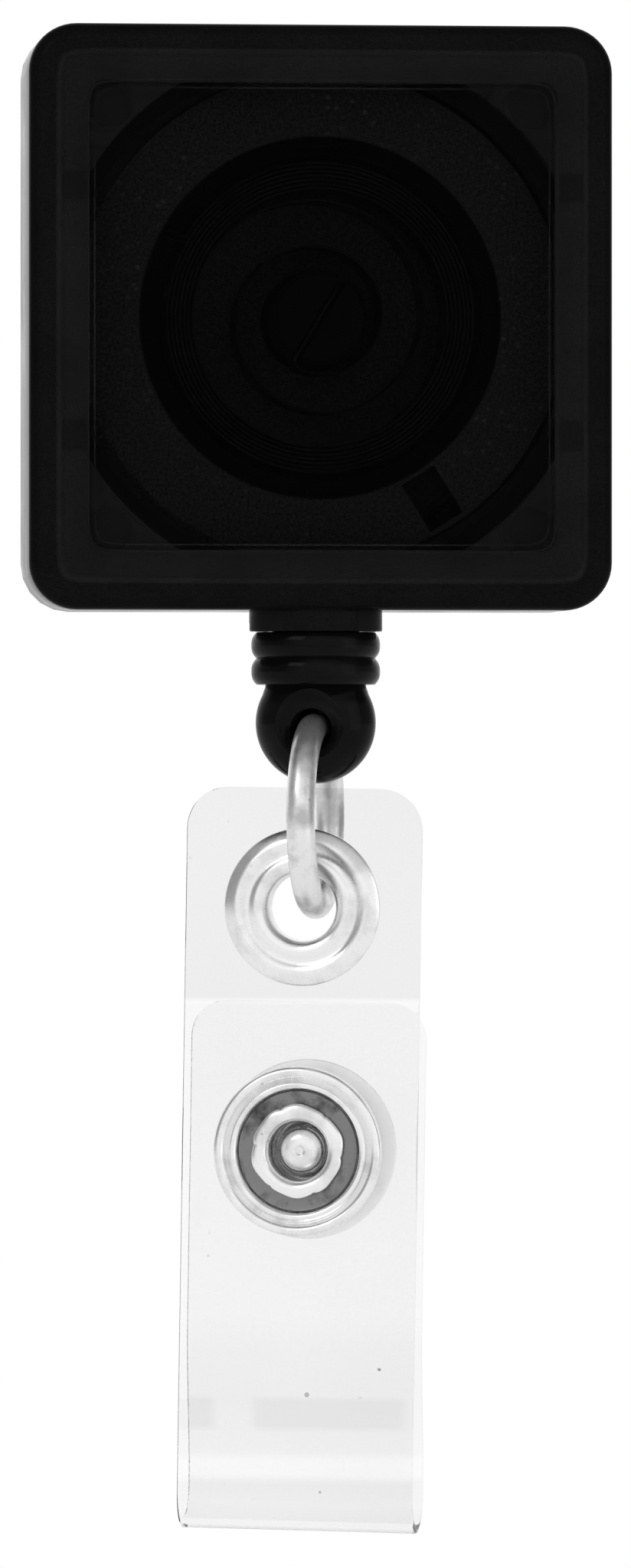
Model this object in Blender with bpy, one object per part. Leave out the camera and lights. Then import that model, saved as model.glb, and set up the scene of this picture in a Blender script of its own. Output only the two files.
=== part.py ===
"""Retractable badge reel with a slide clip on its back and a snap strap on its cord.

Run with: blender --background --python part.py (or from Blender's text editor).

Metres, +Z up. The front faces -Y and +X is to the right. The origin is on the belt seat, the flat rear
face of the clip's fixed leg, below the rivet. Casing pieces are drawn in "case space", whose axes are
right, up and front: its origin is the spool's axis at the level of the belt seat. Pieces that hang on
the cord are drawn in "hang space", the same axes on the cord, turned about it by HANG_TWIST.
"""

import math

import bmesh
import bpy
from mathutils import Matrix, Vector

MM = 0.001

# Clearances
SPOOL_GAP = 0.30 * MM  # between the spool and the casing, at each side
SEAM_GAP = 0.10 * MM  # between the two shells, and between pieces that are fixed together
RIVETED_GAP = 0.05 * MM  # between metal and what it is clinched on
PIN_GAP = 0.15 * MM  # between the shells' pins or hooks and their sockets
RUN_GAP = 0.25 * MM  # between pieces that turn or slide on each other
OVERCUT = 1.00 * MM  # how far a cutter runs past what it cuts
SINK = 0.30 * MM  # how far a fused piece starts inside what it stands on

# Spool and the cord on it
SPOOL_WIDTH = 5.50 * MM
FLANGE_R = 13.40 * MM
FLANGE_T = 0.70 * MM
DRUM_OUT_R = 9.86 * MM
DRUM_WALL = 1.06 * MM
WINDING_BELOW_FLANGE = 1.30 * MM
CORD_D = 0.80 * MM
ANCHOR_SLOT = (2.10 * MM, 3.00 * MM)  # across and along the radius
ANCHOR_ANGLE = math.radians(-58)
TOP_NOTCH = (2.50 * MM, 0.50 * MM)

# Arbor and mainspring
ARBOR_R = 2.60 * MM
ARBOR_SLOT = 0.50 * MM
SPRING_T = 0.11 * MM
SPRING_RECESS = 0.575 * MM  # from the spool's front face back to the spring's edge
SPRING_PITCH = 0.23 * MM
SPRING_TURNS = 7
SPRING_OPEN_TURNS = 1.75  # from the arbor out to the coils that rest on the drum
HOOK_ANGLE = math.radians(150)
HOOK_LENGTH = 0.70 * MM

# Casing
CHAMBER_GAP = 0.60 * MM
CHAMBER_WALL = 0.80 * MM
SIDE_WALL = 1.20 * MM
CASE_MARGIN = 1.875 * MM  # from the chamber to the casing's side
CASE_CORNER_R = 2.60 * MM
CASE_EDGE_R = 1.00 * MM
CASE_BACK = 0.30 * MM  # the clip's leg stands proud of the back by this
BACK_WALL = 1.75 * MM
FRONT_WALL = 1.05 * MM
LABEL_DEPTH = 0.70 * MM
LEDGE_WIDTH = 1.50 * MM
LEDGE_DROP = 0.60 * MM
RIM_WIDTH = 1.675 * MM
RIM_BEVEL = 0.40 * MM
PIN_R = 1.25 * MM
PIN_INSET = 4.375 * MM
PIN_LENGTH = 2.00 * MM
BOSS_WALL = 0.70 * MM
HOOK_CLEAR = (0.42 * MM, 0.22 * MM)  # above and below, past where the tabs clear the chamber ring
HOOK_TAB = (0.90 * MM, 1.80 * MM, 2.10 * MM)  # thick, wide, and reach past the parting line
HOOK_BARB = 0.45 * MM

# Outlet neck and end fitting
NECK_R = 3.63 * MM
NECK_BORE_R = 2.70 * MM
NECK_DROP = 0.90 * MM
SPIGOT_RISE = 0.75 * MM
FITTING_R = 3.52 * MM
RIB_HEIGHT = 1.35 * MM
RIB_GROOVE = 0.22 * MM
RIBS_HEIGHT = 2.85 * MM
BALL_R = 3.30 * MM
BALL_T = 5.00 * MM
BALL_BELOW = 4.95 * MM  # from the ribs' top to the ball's centre
JUNCTION_R = 2.75 * MM
KNOT_R = 1.05 * MM
KNOT_PLAY = 0.30 * MM
KNOT_SHOULDER = 0.70 * MM  # the knot's seat, below the ribs' top
EYE_PLAY = 0.475 * MM  # round the wire
EYE_DROP = 0.15 * MM
EYE_DISH = 0.80 * MM  # by which the eye's mouths are wider
EYE_LAND = 1.50 * MM  # half the length of the eye's straight stretch

# Wire link
WIRE_D = 1.55 * MM
LINK_R = 4.85 * MM
WIRE_SAG = 0.20 * MM  # the wire's axis hangs this far below the eye's centre
WIRE_ARCH = 0.14 * MM  # the middle of the curved wire stands this far above its turning axis

# Strap and fold
STRAP_WIDTH = 13.00 * MM
STRAP_T = 0.50 * MM
STRAP_TOP = 6.37 * MM  # above the link's lower bar
STRAP_DROP = 34.28 * MM  # from the link's lower bar to the strap's lowest point
STRAP_CORNER_R = 2.30 * MM
FLAP_TOP_DROP = 5.33 * MM  # from the link's lower bar to the flap's upper edge
FLAP_CORNER_R = 2.00 * MM
FOLD_R = 1.85 * MM  # to the middle of the strap
FOLD_HINGE_ANGLE = math.radians(60)
FLAP_DEPTH = 2.45 * MM  # behind the front layer, at the snap
FLAP_RUN = 9.00 * MM  # height in which the flap comes forward from the fold
SNAP_DROP = 13.43 * MM

# Grommet and snap
GROMMET_R = 4.32 * MM
GROMMET_PLAY = 1.055 * MM  # round the wire
GROMMET_SHELL = 0.30 * MM
GROMMET_DROP = 0.13 * MM
SNAP_RING_R = 4.65 * MM
SNAP_BORE_R = 1.62 * MM
SNAP_SHELL = 0.33 * MM
SOCKET_R = 4.35 * MM
SOCKET_CUP_R = 3.30 * MM
STUD_PLAY = 0.26 * MM  # round the stud's head in the snap's bore
STUD_UNDERCUT = 0.26 * MM
STUD_FLANGE_R = 4.20 * MM
CAP_R = 4.95 * MM
CAP_POST_R = 0.65 * MM

# Slide clip
CLIP_WIDTH = 10.00 * MM
CLIP_T = 0.60 * MM
CLIP_TOP = 11.00 * MM
CLIP_LEG = 22.00 * MM
CLIP_CORNER_R = 1.50 * MM
BELT_GAP = 4.60 * MM
CLIP_JOINT_GAP = 0.30 * MM
TONGUE_STRAIGHT = 14.00 * MM
PINCH_DROP = 6.00 * MM
PINCH_IN = 1.70 * MM
LIP_DROP = 3.50 * MM
LIP_OUT = 1.40 * MM
TOOL_HOLE_R = 2.20 * MM
DIMPLE_MARGIN = 0.60 * MM  # round the rivet's head
DIMPLE_DEPTH = 0.60 * MM
RIVET_HEAD_R = 2.60 * MM
RIVET_SHANK_R = 1.10 * MM
RIVET_REACH = 2.60 * MM
SEAT_BELOW_RIVET = 7.50 * MM

# How the cord's end hangs
HANG_TWIST = math.radians(-15)
STRAP_LEAN = math.radians(-0.9)
STRAP_SHIFT = -0.68 * MM  # the strap hangs to one side on the link, within the grommet's play

# Worked out from the sizes above
WINDING_R = FLANGE_R - WINDING_BELOW_FLANGE
CHAMBER_R = FLANGE_R + CHAMBER_GAP
CASE_HALF = CHAMBER_R + CASE_MARGIN
CASE_SIDE = 2 * CASE_HALF
CHAMBER_BACK = CASE_BACK + BACK_WALL
MID = CHAMBER_BACK + SPOOL_GAP + SPOOL_WIDTH / 2
CHAMBER_FRONT = MID + SPOOL_WIDTH / 2 + SPOOL_GAP
LABEL_FLOOR = CHAMBER_FRONT + FRONT_WALL
CASE_FRONT = LABEL_FLOOR + LABEL_DEPTH
LEDGE = CASE_FRONT - LEDGE_DROP
CAVITY_SIDE = CASE_SIDE - 2 * SIDE_WALL
PIN_AT = CASE_HALF - PIN_INSET
DRUM_IN_R = DRUM_OUT_R - DRUM_WALL
SPOOL_BACK = MID - SPOOL_WIDTH / 2
SPOOL_FRONT = MID + SPOOL_WIDTH / 2
ARBOR_END = CHAMBER_FRONT - SPOOL_GAP
HUB_BORE_R = ARBOR_R + RUN_GAP
SPRING_BACK = SPOOL_BACK + FLANGE_T + RUN_GAP / 2
SPRING_FRONT = SPOOL_FRONT - SPRING_RECESS
RIVET_BORE_R = RIVET_SHANK_R + RIVETED_GAP
NECK_END = -CASE_HALF - NECK_DROP
RIBS_TOP = NECK_END - RUN_GAP
SPIGOT_TOP = RIBS_TOP + RUN_GAP + SPIGOT_RISE
SPIGOT_R = NECK_BORE_R - 1.2 * RUN_GAP
CORD_HOLE_R = CORD_D / 2 + RUN_GAP
KNOT_BORE_R = KNOT_R + KNOT_PLAY
SHOULDER_AT = RIBS_TOP - KNOT_SHOULDER
EYE_R = WIRE_D / 2 + EYE_PLAY
EYE_DISH_R = EYE_R + EYE_DISH
GROMMET_BORE_R = WIRE_D / 2 + GROMMET_PLAY
STUD_HEAD_R = SNAP_BORE_R - STUD_PLAY
STUD_NECK_R = STUD_HEAD_R - STUD_UNDERCUT
DIMPLE_R = RIVET_HEAD_R + DIMPLE_MARGIN
BALL_AT = RIBS_TOP - BALL_BELOW
EYE_AT = BALL_AT - EYE_DROP
LINK_AXIS = EYE_AT - WIRE_SAG
LINK_CENTRE = LINK_AXIS + WIRE_ARCH - LINK_R
BAR_AT = LINK_CENTRE - LINK_R
FOLD_CENTRE = -STRAP_DROP + FOLD_R + STRAP_T / 2  # above the strap's pivot, as all strap heights
FOLD_OUT_R = FOLD_R + STRAP_T / 2
CLIP_BEND_R = (BELT_GAP + CLIP_T) / 2


# Small tools


def clear_scene():
    for thing in list(bpy.data.objects):
        bpy.data.objects.remove(thing, do_unlink=True)


def material(name, colour, roughness, metallic=0.0, transmission=0.0):
    made = bpy.data.materials.new(name)
    made.use_nodes = True
    shader = made.node_tree.nodes["Principled BSDF"]
    shader.inputs["Base Color"].default_value = (*colour, 1.0)
    shader.inputs["Roughness"].default_value = roughness
    shader.inputs["Metallic"].default_value = metallic
    shader.inputs["Transmission Weight"].default_value = transmission
    made.diffuse_color = (*colour, 1.0)
    return made


def empty(name, parent=None, location=(0, 0, 0), rotation=(0, 0, 0)):
    made = bpy.data.objects.new(name, None)
    made.empty_display_size = 3 * MM
    made.location = location
    made.rotation_euler = rotation
    made.parent = parent
    bpy.context.collection.objects.link(made)
    return made


def to_object(name, mesh, parent, finish=None):
    """An object from a bmesh. Without a finish it is a helper, which renders leave out."""
    bmesh.ops.remove_doubles(mesh, verts=mesh.verts, dist=1e-7)
    bmesh.ops.recalc_face_normals(mesh, faces=mesh.faces)
    if mesh.calc_volume(signed=True) < 0:
        bmesh.ops.reverse_faces(mesh, faces=mesh.faces)
    data = bpy.data.meshes.new(name)
    mesh.to_mesh(data)
    mesh.free()
    data.shade_smooth()
    data.set_sharp_from_angle(angle=math.radians(32))
    made = bpy.data.objects.new(name, data)
    made.parent = parent
    bpy.context.collection.objects.link(made)
    if finish:
        data.materials.append(finish)
    else:
        made.hide_render = True
        made.display_type = "WIRE"
    return made


def boolean(target, operation, other):
    made = target.modifiers.new(other.name, "BOOLEAN")
    made.operation = operation
    made.solver = "EXACT"
    made.object = other


def cut(target, *cutters):
    for cutter in cutters:
        boolean(target, "DIFFERENCE", cutter)


def fuse(target, *others):
    for other in others:
        boolean(target, "UNION", other)


def arc(centre, radius, start, end, steps):
    """Points on an arc, from the angle start to the angle end, both in degrees."""
    points = []
    for step in range(steps + 1):
        angle = math.radians(start + (end - start) * step / steps)
        points.append((centre[0] + radius * math.cos(angle), centre[1] + radius * math.sin(angle)))
    return points


def rounded_rectangle(width, height, radius, steps=5, centre=(0, 0)):
    points = []
    for turn, (side_x, side_y) in enumerate(((1, 1), (-1, 1), (-1, -1), (1, -1))):
        corner = (
            centre[0] + side_x * (width / 2 - radius),
            centre[1] + side_y * (height / 2 - radius),
        )
        points += arc(corner, radius, 90 * turn, 90 * turn + 90, steps)
    return points


def stack(sections):
    """A closed solid through outlines of the same number of points, each with its height."""
    mesh = bmesh.new()
    rings = []
    for outline, height in sections:
        rings.append([mesh.verts.new((x, y, height)) for x, y in outline])
    for lower, upper in zip(rings, rings[1:]):
        for i in range(len(lower)):
            j = (i + 1) % len(lower)
            mesh.faces.new((lower[i], lower[j], upper[j], upper[i]))
    mesh.faces.new(rings[0])
    mesh.faces.new(rings[-1])
    return mesh


def block(low, high):
    mesh = bmesh.new()
    bmesh.ops.create_cube(mesh, size=1.0)
    low = Vector(low)
    high = Vector(high)
    place = Matrix.Translation((low + high) / 2) @ Matrix.Diagonal((*(high - low), 1.0))
    bmesh.ops.transform(mesh, matrix=place, verts=mesh.verts)
    return mesh


def turned(profile, steps, axis="Z"):
    """A profile of (radius, height) turned about an axis: a ring if it is clear of the axis, or a solid
    if its first and last points are on it."""
    mesh = bmesh.new()
    points = [mesh.verts.new((radius, 0, height)) for radius, height in profile]
    edges = [mesh.edges.new(pair) for pair in zip(points, points[1:])]
    if min(radius for radius, height in profile) > 0:
        edges.append(mesh.edges.new((points[-1], points[0])))
    bmesh.ops.spin(
        mesh, geom=edges, axis=(0, 0, 1), cent=(0, 0, 0), steps=steps, angle=2 * math.pi,
        use_merge=False, use_duplicate=False,
    )
    bmesh.ops.remove_doubles(mesh, verts=mesh.verts, dist=1e-7)
    if axis == "Y":
        bmesh.ops.rotate(mesh, matrix=Matrix.Rotation(math.radians(-90), 3, "X"), verts=mesh.verts)
    return mesh


def disc(radius, low, high, steps=32):
    return turned([(0, low), (radius, low), (radius, high), (0, high)], steps)


def tube(inner, outer, low, high, steps=48):
    return turned([(inner, low), (outer, low), (outer, high), (inner, high)], steps)


def moved(mesh, place, turn=0.0):
    """The mesh turned about Z and then moved."""
    matrix = Matrix.Translation(Vector(place)) @ Matrix.Rotation(turn, 4, "Z")
    bmesh.ops.transform(mesh, matrix=matrix, verts=mesh.verts)
    return mesh


def ribbon(path, half_widths, thickness):
    """A strip that runs along a path of (depth, height) and spans X. Depth goes to the rear."""
    mesh = bmesh.new()
    rows = []
    for i, (depth, height) in enumerate(path):
        before = Vector(path[max(i - 1, 0)])
        after = Vector(path[min(i + 1, len(path) - 1)])
        along = (after - before).normalized()
        across = Vector((-along.y, along.x)) * thickness / 2
        row = []
        for side, way in ((1, 1), (-1, 1), (-1, -1), (1, -1)):
            x = side * half_widths[i]
            row.append(mesh.verts.new((x, height + way * across.y, -(depth + way * across.x))))
        rows.append(row)
    for upper, lower in zip(rows, rows[1:]):
        for i in range(4):
            j = (i + 1) % 4
            mesh.faces.new((upper[i], upper[j], lower[j], lower[i]))
    mesh.faces.new(rows[0])
    mesh.faces.new(rows[-1])
    return mesh


def end_widths(distances, width, radius):
    """Half widths at these distances from a strip's end whose corners are rounded."""
    widths = []
    for distance in distances:
        inside = max(radius - distance, 0.0)
        widths.append(width / 2 - radius + math.sqrt(radius**2 - inside**2))
    return widths


def rounded_end(radius, steps=5):
    """Distances from a strip's end that follow its rounded corner."""
    return [radius * (1 - math.cos(math.radians(90 * step / steps))) for step in range(steps + 1)]


def cord_tube(name, points, parent, finish):
    """A length of cord along points in its parent's space."""
    data = bpy.data.curves.new(name, "CURVE")
    data.dimensions = "3D"
    data.bevel_depth = CORD_D / 2
    data.bevel_resolution = 2
    data.use_fill_caps = True
    line = data.splines.new("POLY")
    line.points.add(len(points) - 1)
    for point, place in zip(line.points, points):
        point.co = (*place, 1.0)
    made = bpy.data.objects.new(name, data)
    made.parent = parent
    data.materials.append(finish)
    bpy.context.collection.objects.link(made)
    return made


# Casing


def case_outline(inset):
    side = CASE_SIDE - 2 * inset
    return rounded_rectangle(side, side, max(CASE_CORNER_R - inset, 0.25 * MM))


def edge_sections(face, way):
    """Sections round the casing's outer edge, from its side to the face. way is +1 towards the front."""
    sections = []
    for step in range(5):
        angle = math.radians(90 * step / 4)
        inset = CASE_EDGE_R * (1 - math.cos(angle))
        sections.append((case_outline(inset), face - way * CASE_EDGE_R * (1 - math.sin(angle))))
    return sections


def front_body():
    """The front half: sides, rounded edge, ledge, bevelled rim and sunk label panel."""
    panel = LEDGE_WIDTH + RIM_WIDTH
    sections = [(case_outline(0), MID + SEAM_GAP / 2)]
    sections += edge_sections(LEDGE, 1)
    sections.append((case_outline(LEDGE_WIDTH), LEDGE))
    sections.append((case_outline(LEDGE_WIDTH + RIM_BEVEL), CASE_FRONT))
    sections.append((case_outline(panel), CASE_FRONT))
    sections.append((case_outline(panel), LABEL_FLOOR))
    return stack(sections)


def back_body():
    sections = edge_sections(CASE_BACK, -1)[::-1]
    sections.append((case_outline(0), MID - SEAM_GAP / 2))
    return stack(sections)


def cavity(low, high):
    outline = rounded_rectangle(CAVITY_SIDE, CAVITY_SIDE, max(CASE_CORNER_R - SIDE_WALL, 0.3 * MM))
    return stack([(outline, low), (outline, high)])


def neck_bore():
    """The cord's way out: a straight bore whose inner end flares into the chamber."""
    flare = NECK_BORE_R + 0.6 * MM
    mesh = turned(
        [
            (0, NECK_END - OVERCUT),
            (NECK_BORE_R, NECK_END - OVERCUT),
            (NECK_BORE_R, -CHAMBER_R - CHAMBER_WALL),
            (flare, -CHAMBER_R + 0.4 * MM),
            (0, -CHAMBER_R + 0.4 * MM),
        ],
        40,
        "Y",
    )
    return moved(mesh, (0, 0, MID))


def neck_half(way):
    """Half of the collar round the outlet, on the front (+1) or the back (-1) shell."""
    chamfer = 0.25 * MM
    top = -CASE_HALF + 0.5 * SIDE_WALL
    # The turn below sends the outline's second axis to -Z, so the front half is drawn on its other side.
    start = 180 if way > 0 else 0
    sections = []
    for radius, height in ((NECK_R, top), (NECK_R, NECK_END + chamfer), (NECK_R - chamfer, NECK_END)):
        sections.append((arc((0, 0), radius, start, start + 180, 24), height))
    mesh = stack(sections)
    turn = Matrix.Rotation(math.radians(-90), 3, "X")
    bmesh.ops.rotate(mesh, matrix=turn, verts=mesh.verts)
    return moved(mesh, (0, 0, MID + way * SEAM_GAP / 2))


def corner_places():
    return [(x * PIN_AT, y * PIN_AT) for x in (-1, 1) for y in (-1, 1)]


def hook_places():
    """The snap hooks' places, as (side, height): each tab's inner edge clears the chamber ring."""
    thick, wide, reach = HOOK_TAB
    inner = CAVITY_SIDE / 2 - PIN_GAP - thick
    ring = math.sqrt((CHAMBER_R + CHAMBER_WALL) ** 2 - inner**2) + wide / 2
    rows = (ring + HOOK_CLEAR[0], -ring - HOOK_CLEAR[1])
    return [(side, row) for side in (-1, 1) for row in rows]


def hook_tab(side, row):
    """A snap hook on the front shell: a tab past the parting line with a barb that faces outwards."""
    thick, wide, reach = HOOK_TAB
    outer = CAVITY_SIDE / 2 - PIN_GAP
    tip = MID - reach
    outline = [
        (outer - thick, MID + 1.5 * MM),
        (outer - thick, tip),
        (outer, tip),
        (outer + HOOK_BARB, tip + 0.6 * MM),
        (outer + HOOK_BARB, tip + 0.75 * MM),
        (outer, tip + 0.9 * MM),
        (outer, MID + 0.9 * MM),
        (outer + 2 * PIN_GAP, MID + 1.5 * MM),
    ]
    mesh = stack([(outline, -wide / 2), (outline, wide / 2)])
    # From the outline's (across, front) plane and its width to right, up and front.
    bmesh.ops.transform(mesh, matrix=Matrix(((1, 0, 0, 0), (0, 0, 1, 0), (0, 1, 0, 0), (0, 0, 0, 1))),
                        verts=mesh.verts)
    bmesh.ops.scale(mesh, vec=(side, 1, 1), verts=mesh.verts)
    return moved(mesh, (0, row, 0))


def hook_window(side, row):
    wide, reach = HOOK_TAB[1:]
    tip = MID - reach
    inner = CAVITY_SIDE / 2 - 0.2 * MM
    outer = CAVITY_SIDE / 2 - PIN_GAP + HOOK_BARB + PIN_GAP
    low = (min(side * inner, side * outer), row - wide / 2 - PIN_GAP, tip - PIN_GAP)
    high = (max(side * inner, side * outer), row + wide / 2 + PIN_GAP, tip + 0.9 * MM + PIN_GAP)
    return block(low, high)


def add_front_shell(reel, finish):
    shell = to_object("front_shell", front_body(), reel, finish)
    cut(shell, to_object("front_cavity", cavity(MID - OVERCUT, CHAMBER_FRONT), reel))
    ring = tube(CHAMBER_R, CHAMBER_R + CHAMBER_WALL, MID + SEAM_GAP / 2, CHAMBER_FRONT + SINK)
    fuse(shell, to_object("front_chamber_ring", ring, reel))
    for i, (x, y) in enumerate(corner_places()):
        pin = disc(PIN_R, MID - PIN_LENGTH, CHAMBER_FRONT + SINK, 16)
        fuse(shell, to_object(f"front_pin_{i}", moved(pin, (x, y, 0)), reel))
    for i, (side, row) in enumerate(hook_places()):
        fuse(shell, to_object(f"front_hook_{i}", hook_tab(side, row), reel))
    fuse(shell, to_object("front_neck", neck_half(1), reel))
    cut(shell, to_object("front_neck_bore", neck_bore(), reel))
    return shell


def arbor_slot():
    """The slot that the mainspring's inner tail sits in."""
    low = (-ARBOR_R - OVERCUT, -ARBOR_SLOT / 2, SPRING_BACK - SEAM_GAP)
    high = (ARBOR_R + OVERCUT, ARBOR_SLOT / 2, ARBOR_END + OVERCUT)
    return block(low, high)


def add_rear_shell(reel, finish):
    shell = to_object("rear_shell", back_body(), reel, finish)
    cut(shell, to_object("rear_cavity", cavity(CHAMBER_BACK, MID + OVERCUT), reel))
    ring = tube(CHAMBER_R, CHAMBER_R + CHAMBER_WALL, CHAMBER_BACK - SINK, MID - SEAM_GAP / 2)
    fuse(shell, to_object("rear_chamber_ring", ring, reel))
    socket_r = PIN_R + PIN_GAP
    for i, (x, y) in enumerate(corner_places()):
        boss = disc(socket_r + BOSS_WALL, CHAMBER_BACK - SINK, MID - SEAM_GAP / 2, 18)
        fuse(shell, to_object(f"rear_boss_{i}", moved(boss, (x, y, 0)), reel))
        hole = disc(socket_r, MID - PIN_LENGTH - PIN_GAP, MID + OVERCUT, 16)
        cut(shell, to_object(f"rear_socket_{i}", moved(hole, (x, y, 0)), reel))
    for i, (side, row) in enumerate(hook_places()):
        cut(shell, to_object(f"rear_hook_window_{i}", hook_window(side, row), reel))
    fuse(shell, to_object("rear_neck", neck_half(-1), reel))
    cut(shell, to_object("rear_neck_bore", neck_bore(), reel))
    chamfer = 0.25 * MM
    arbor = turned(
        [
            (0, CHAMBER_BACK - SINK),
            (ARBOR_R, CHAMBER_BACK - SINK),
            (ARBOR_R, ARBOR_END - chamfer),
            (ARBOR_R - chamfer, ARBOR_END),
            (0, ARBOR_END),
        ],
        32,
    )
    fuse(shell, to_object("arbor", arbor, reel))
    cut(shell, to_object("arbor_slot", arbor_slot(), reel))
    channel_x = CLIP_WIDTH / 2 + PIN_GAP
    channel_low = (-channel_x, CLIP_TOP - CLIP_LEG - PIN_GAP, -OVERCUT)
    channel_high = (channel_x, CLIP_TOP + CLIP_BEND_R + CLIP_T, CLIP_T + PIN_GAP)
    cut(shell, to_object("clip_channel", block(channel_low, channel_high), reel))
    pocket = disc(DIMPLE_R + CLIP_T + PIN_GAP, -OVERCUT, CLIP_T + DIMPLE_DEPTH + PIN_GAP)
    cut(shell, to_object("dimple_pocket", pocket, reel))
    bore = disc(RIVET_BORE_R, -OVERCUT, RIVET_REACH + SEAM_GAP, 24)
    cut(shell, to_object("rivet_bore", bore, reel))
    return shell


# Spool, cord and mainspring


def polar(radius, angle):
    return Vector((radius * math.cos(angle), radius * math.sin(angle)))


def add_spool(reel, finish):
    """Two flanges on a drum. The rear flange closes the drum and turns on the arbor; the front is open."""
    chamfer = 0.2 * MM
    groove_back = SPOOL_BACK + FLANGE_T
    groove_front = SPOOL_FRONT - FLANGE_T
    profile = [
        (HUB_BORE_R, SPOOL_BACK),
        (FLANGE_R - chamfer, SPOOL_BACK),
        (FLANGE_R, SPOOL_BACK + chamfer),
        (FLANGE_R, groove_back),
        (DRUM_OUT_R, groove_back),
        (DRUM_OUT_R, groove_front),
        (FLANGE_R, groove_front),
        (FLANGE_R, SPOOL_FRONT - chamfer),
        (FLANGE_R - chamfer, SPOOL_FRONT),
        (DRUM_IN_R, SPOOL_FRONT),
        (DRUM_IN_R, groove_back),
        (HUB_BORE_R, groove_back),
    ]
    spool = to_object("spool", turned(profile, 52), reel, finish)
    across, along = ANCHOR_SLOT
    slot = block((DRUM_OUT_R + 0.2 * MM, -across / 2, groove_front - OVERCUT),
                 (DRUM_OUT_R + 0.2 * MM + along, across / 2, SPOOL_FRONT + OVERCUT))
    cut(spool, to_object("cord_anchor_slot", moved(slot, (0, 0, 0), ANCHOR_ANGLE), reel))
    wide, deep = TOP_NOTCH
    notch = block((-wide / 2, DRUM_IN_R - OVERCUT, SPOOL_FRONT - FLANGE_T),
                  (wide / 2, DRUM_IN_R + deep, SPOOL_FRONT + OVERCUT))
    cut(spool, to_object("spool_notch", notch, reel))
    slit = block((DRUM_IN_R - OVERCUT, -0.4 * MM, groove_back + 0.05 * MM),
                 (DRUM_IN_R + HOOK_LENGTH + 0.15 * MM, 0.4 * MM, SPOOL_FRONT + OVERCUT))
    cut(spool, to_object("spring_hook_slit", moved(slit, (0, 0, 0), HOOK_ANGLE), reel))
    return spool


def spring_path():
    """The mainspring's middle line outside the arbor: open turns, then the coils that rest on the drum.
    Also gives the angle of its tail in the arbor."""
    outer = DRUM_IN_R - RUN_GAP - SPRING_T / 2
    inner = outer - SPRING_PITCH * SPRING_TURNS
    leave = ARBOR_R + RUN_GAP + SPRING_T / 2
    lead = 2 * math.pi * SPRING_OPEN_TURNS
    coil = 2 * math.pi * SPRING_TURNS
    first = HOOK_ANGLE - lead - coil - math.radians(1)
    points = []
    open_steps = 40
    for step in range(1, open_steps + 1):
        share = step / open_steps
        radius = leave + (inner - leave) * share**1.25
        points.append(polar(radius, first + lead * share))
    coil_steps = 24 * SPRING_TURNS
    for step in range(1, coil_steps + 1):
        share = step / coil_steps
        points.append(polar(inner + (outer - inner) * share, first + lead + coil * share))
    return points, first


def add_mainspring(reel, finish):
    """A flat ribbon that stands on edge, so its section is tall along the spool's axis."""
    points, tail_angle = spring_path()
    tail = [polar(-0.75 * ARBOR_R, tail_angle), polar(ARBOR_R, tail_angle)]
    path = tail + points + [polar(DRUM_IN_R + HOOK_LENGTH, HOOK_ANGLE)]
    mesh = bmesh.new()
    rows = []
    for i, point in enumerate(path):
        along = path[min(i + 1, len(path) - 1)] - path[max(i - 1, 0)]
        side = Vector((-along.y, along.x)).normalized() * SPRING_T / 2
        row = []
        for way, height in ((1, SPRING_BACK), (-1, SPRING_BACK), (-1, SPRING_FRONT), (1, SPRING_FRONT)):
            row.append(mesh.verts.new((point.x + way * side.x, point.y + way * side.y, height)))
        rows.append(row)
    for near, far in zip(rows, rows[1:]):
        for i in range(4):
            j = (i + 1) % 4
            mesh.faces.new((near[i], near[j], far[j], far[i]))
    mesh.faces.new(rows[0])
    mesh.faces.new(rows[-1])
    spring = to_object("mainspring", mesh, reel, finish)
    return spring, tail_angle


def add_winding(reel, finish):
    """The cord's turns on the drum, as one ring with a crowned outer face."""
    half = SPOOL_WIDTH / 2 - FLANGE_T - SEAM_GAP
    inner = DRUM_OUT_R + SEAM_GAP
    crown = 0.35 * MM
    profile = [
        (inner, MID - half),
        (WINDING_R - crown, MID - half),
        (WINDING_R, MID - 0.55 * half),
        (WINDING_R, MID + 0.55 * half),
        (WINDING_R - crown, MID + half),
        (inner, MID + half),
    ]
    return to_object("cord_winding", turned(profile, 40), reel, finish)


def cord_run_points():
    """From the winding's lower right, along its tangent, and round into the neck."""
    reach = WINDING_R + CORD_D / 2 + RUN_GAP
    corner = Vector((0, -CHAMBER_R - 0.9 * MM))
    angle = -math.pi / 2 + math.acos(reach / corner.length)
    leaves = polar(reach, angle)
    way = (corner - leaves).normalized()
    bend_r = 1.60 * MM
    turn = math.acos(-way.y)
    cut_back = bend_r * math.tan(turn / 2)
    points = [leaves, leaves.lerp(corner - way * cut_back, 0.5)]
    centre = Vector((bend_r, corner.y - cut_back))
    steps = 6
    for step in range(steps + 1):
        bend = turn * (1 - step / steps)
        points.append(Vector((centre.x - bend_r * math.cos(bend), centre.y + bend_r * math.sin(bend))))
    return [(point.x, point.y, MID) for point in points]


# End fitting and link


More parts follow.
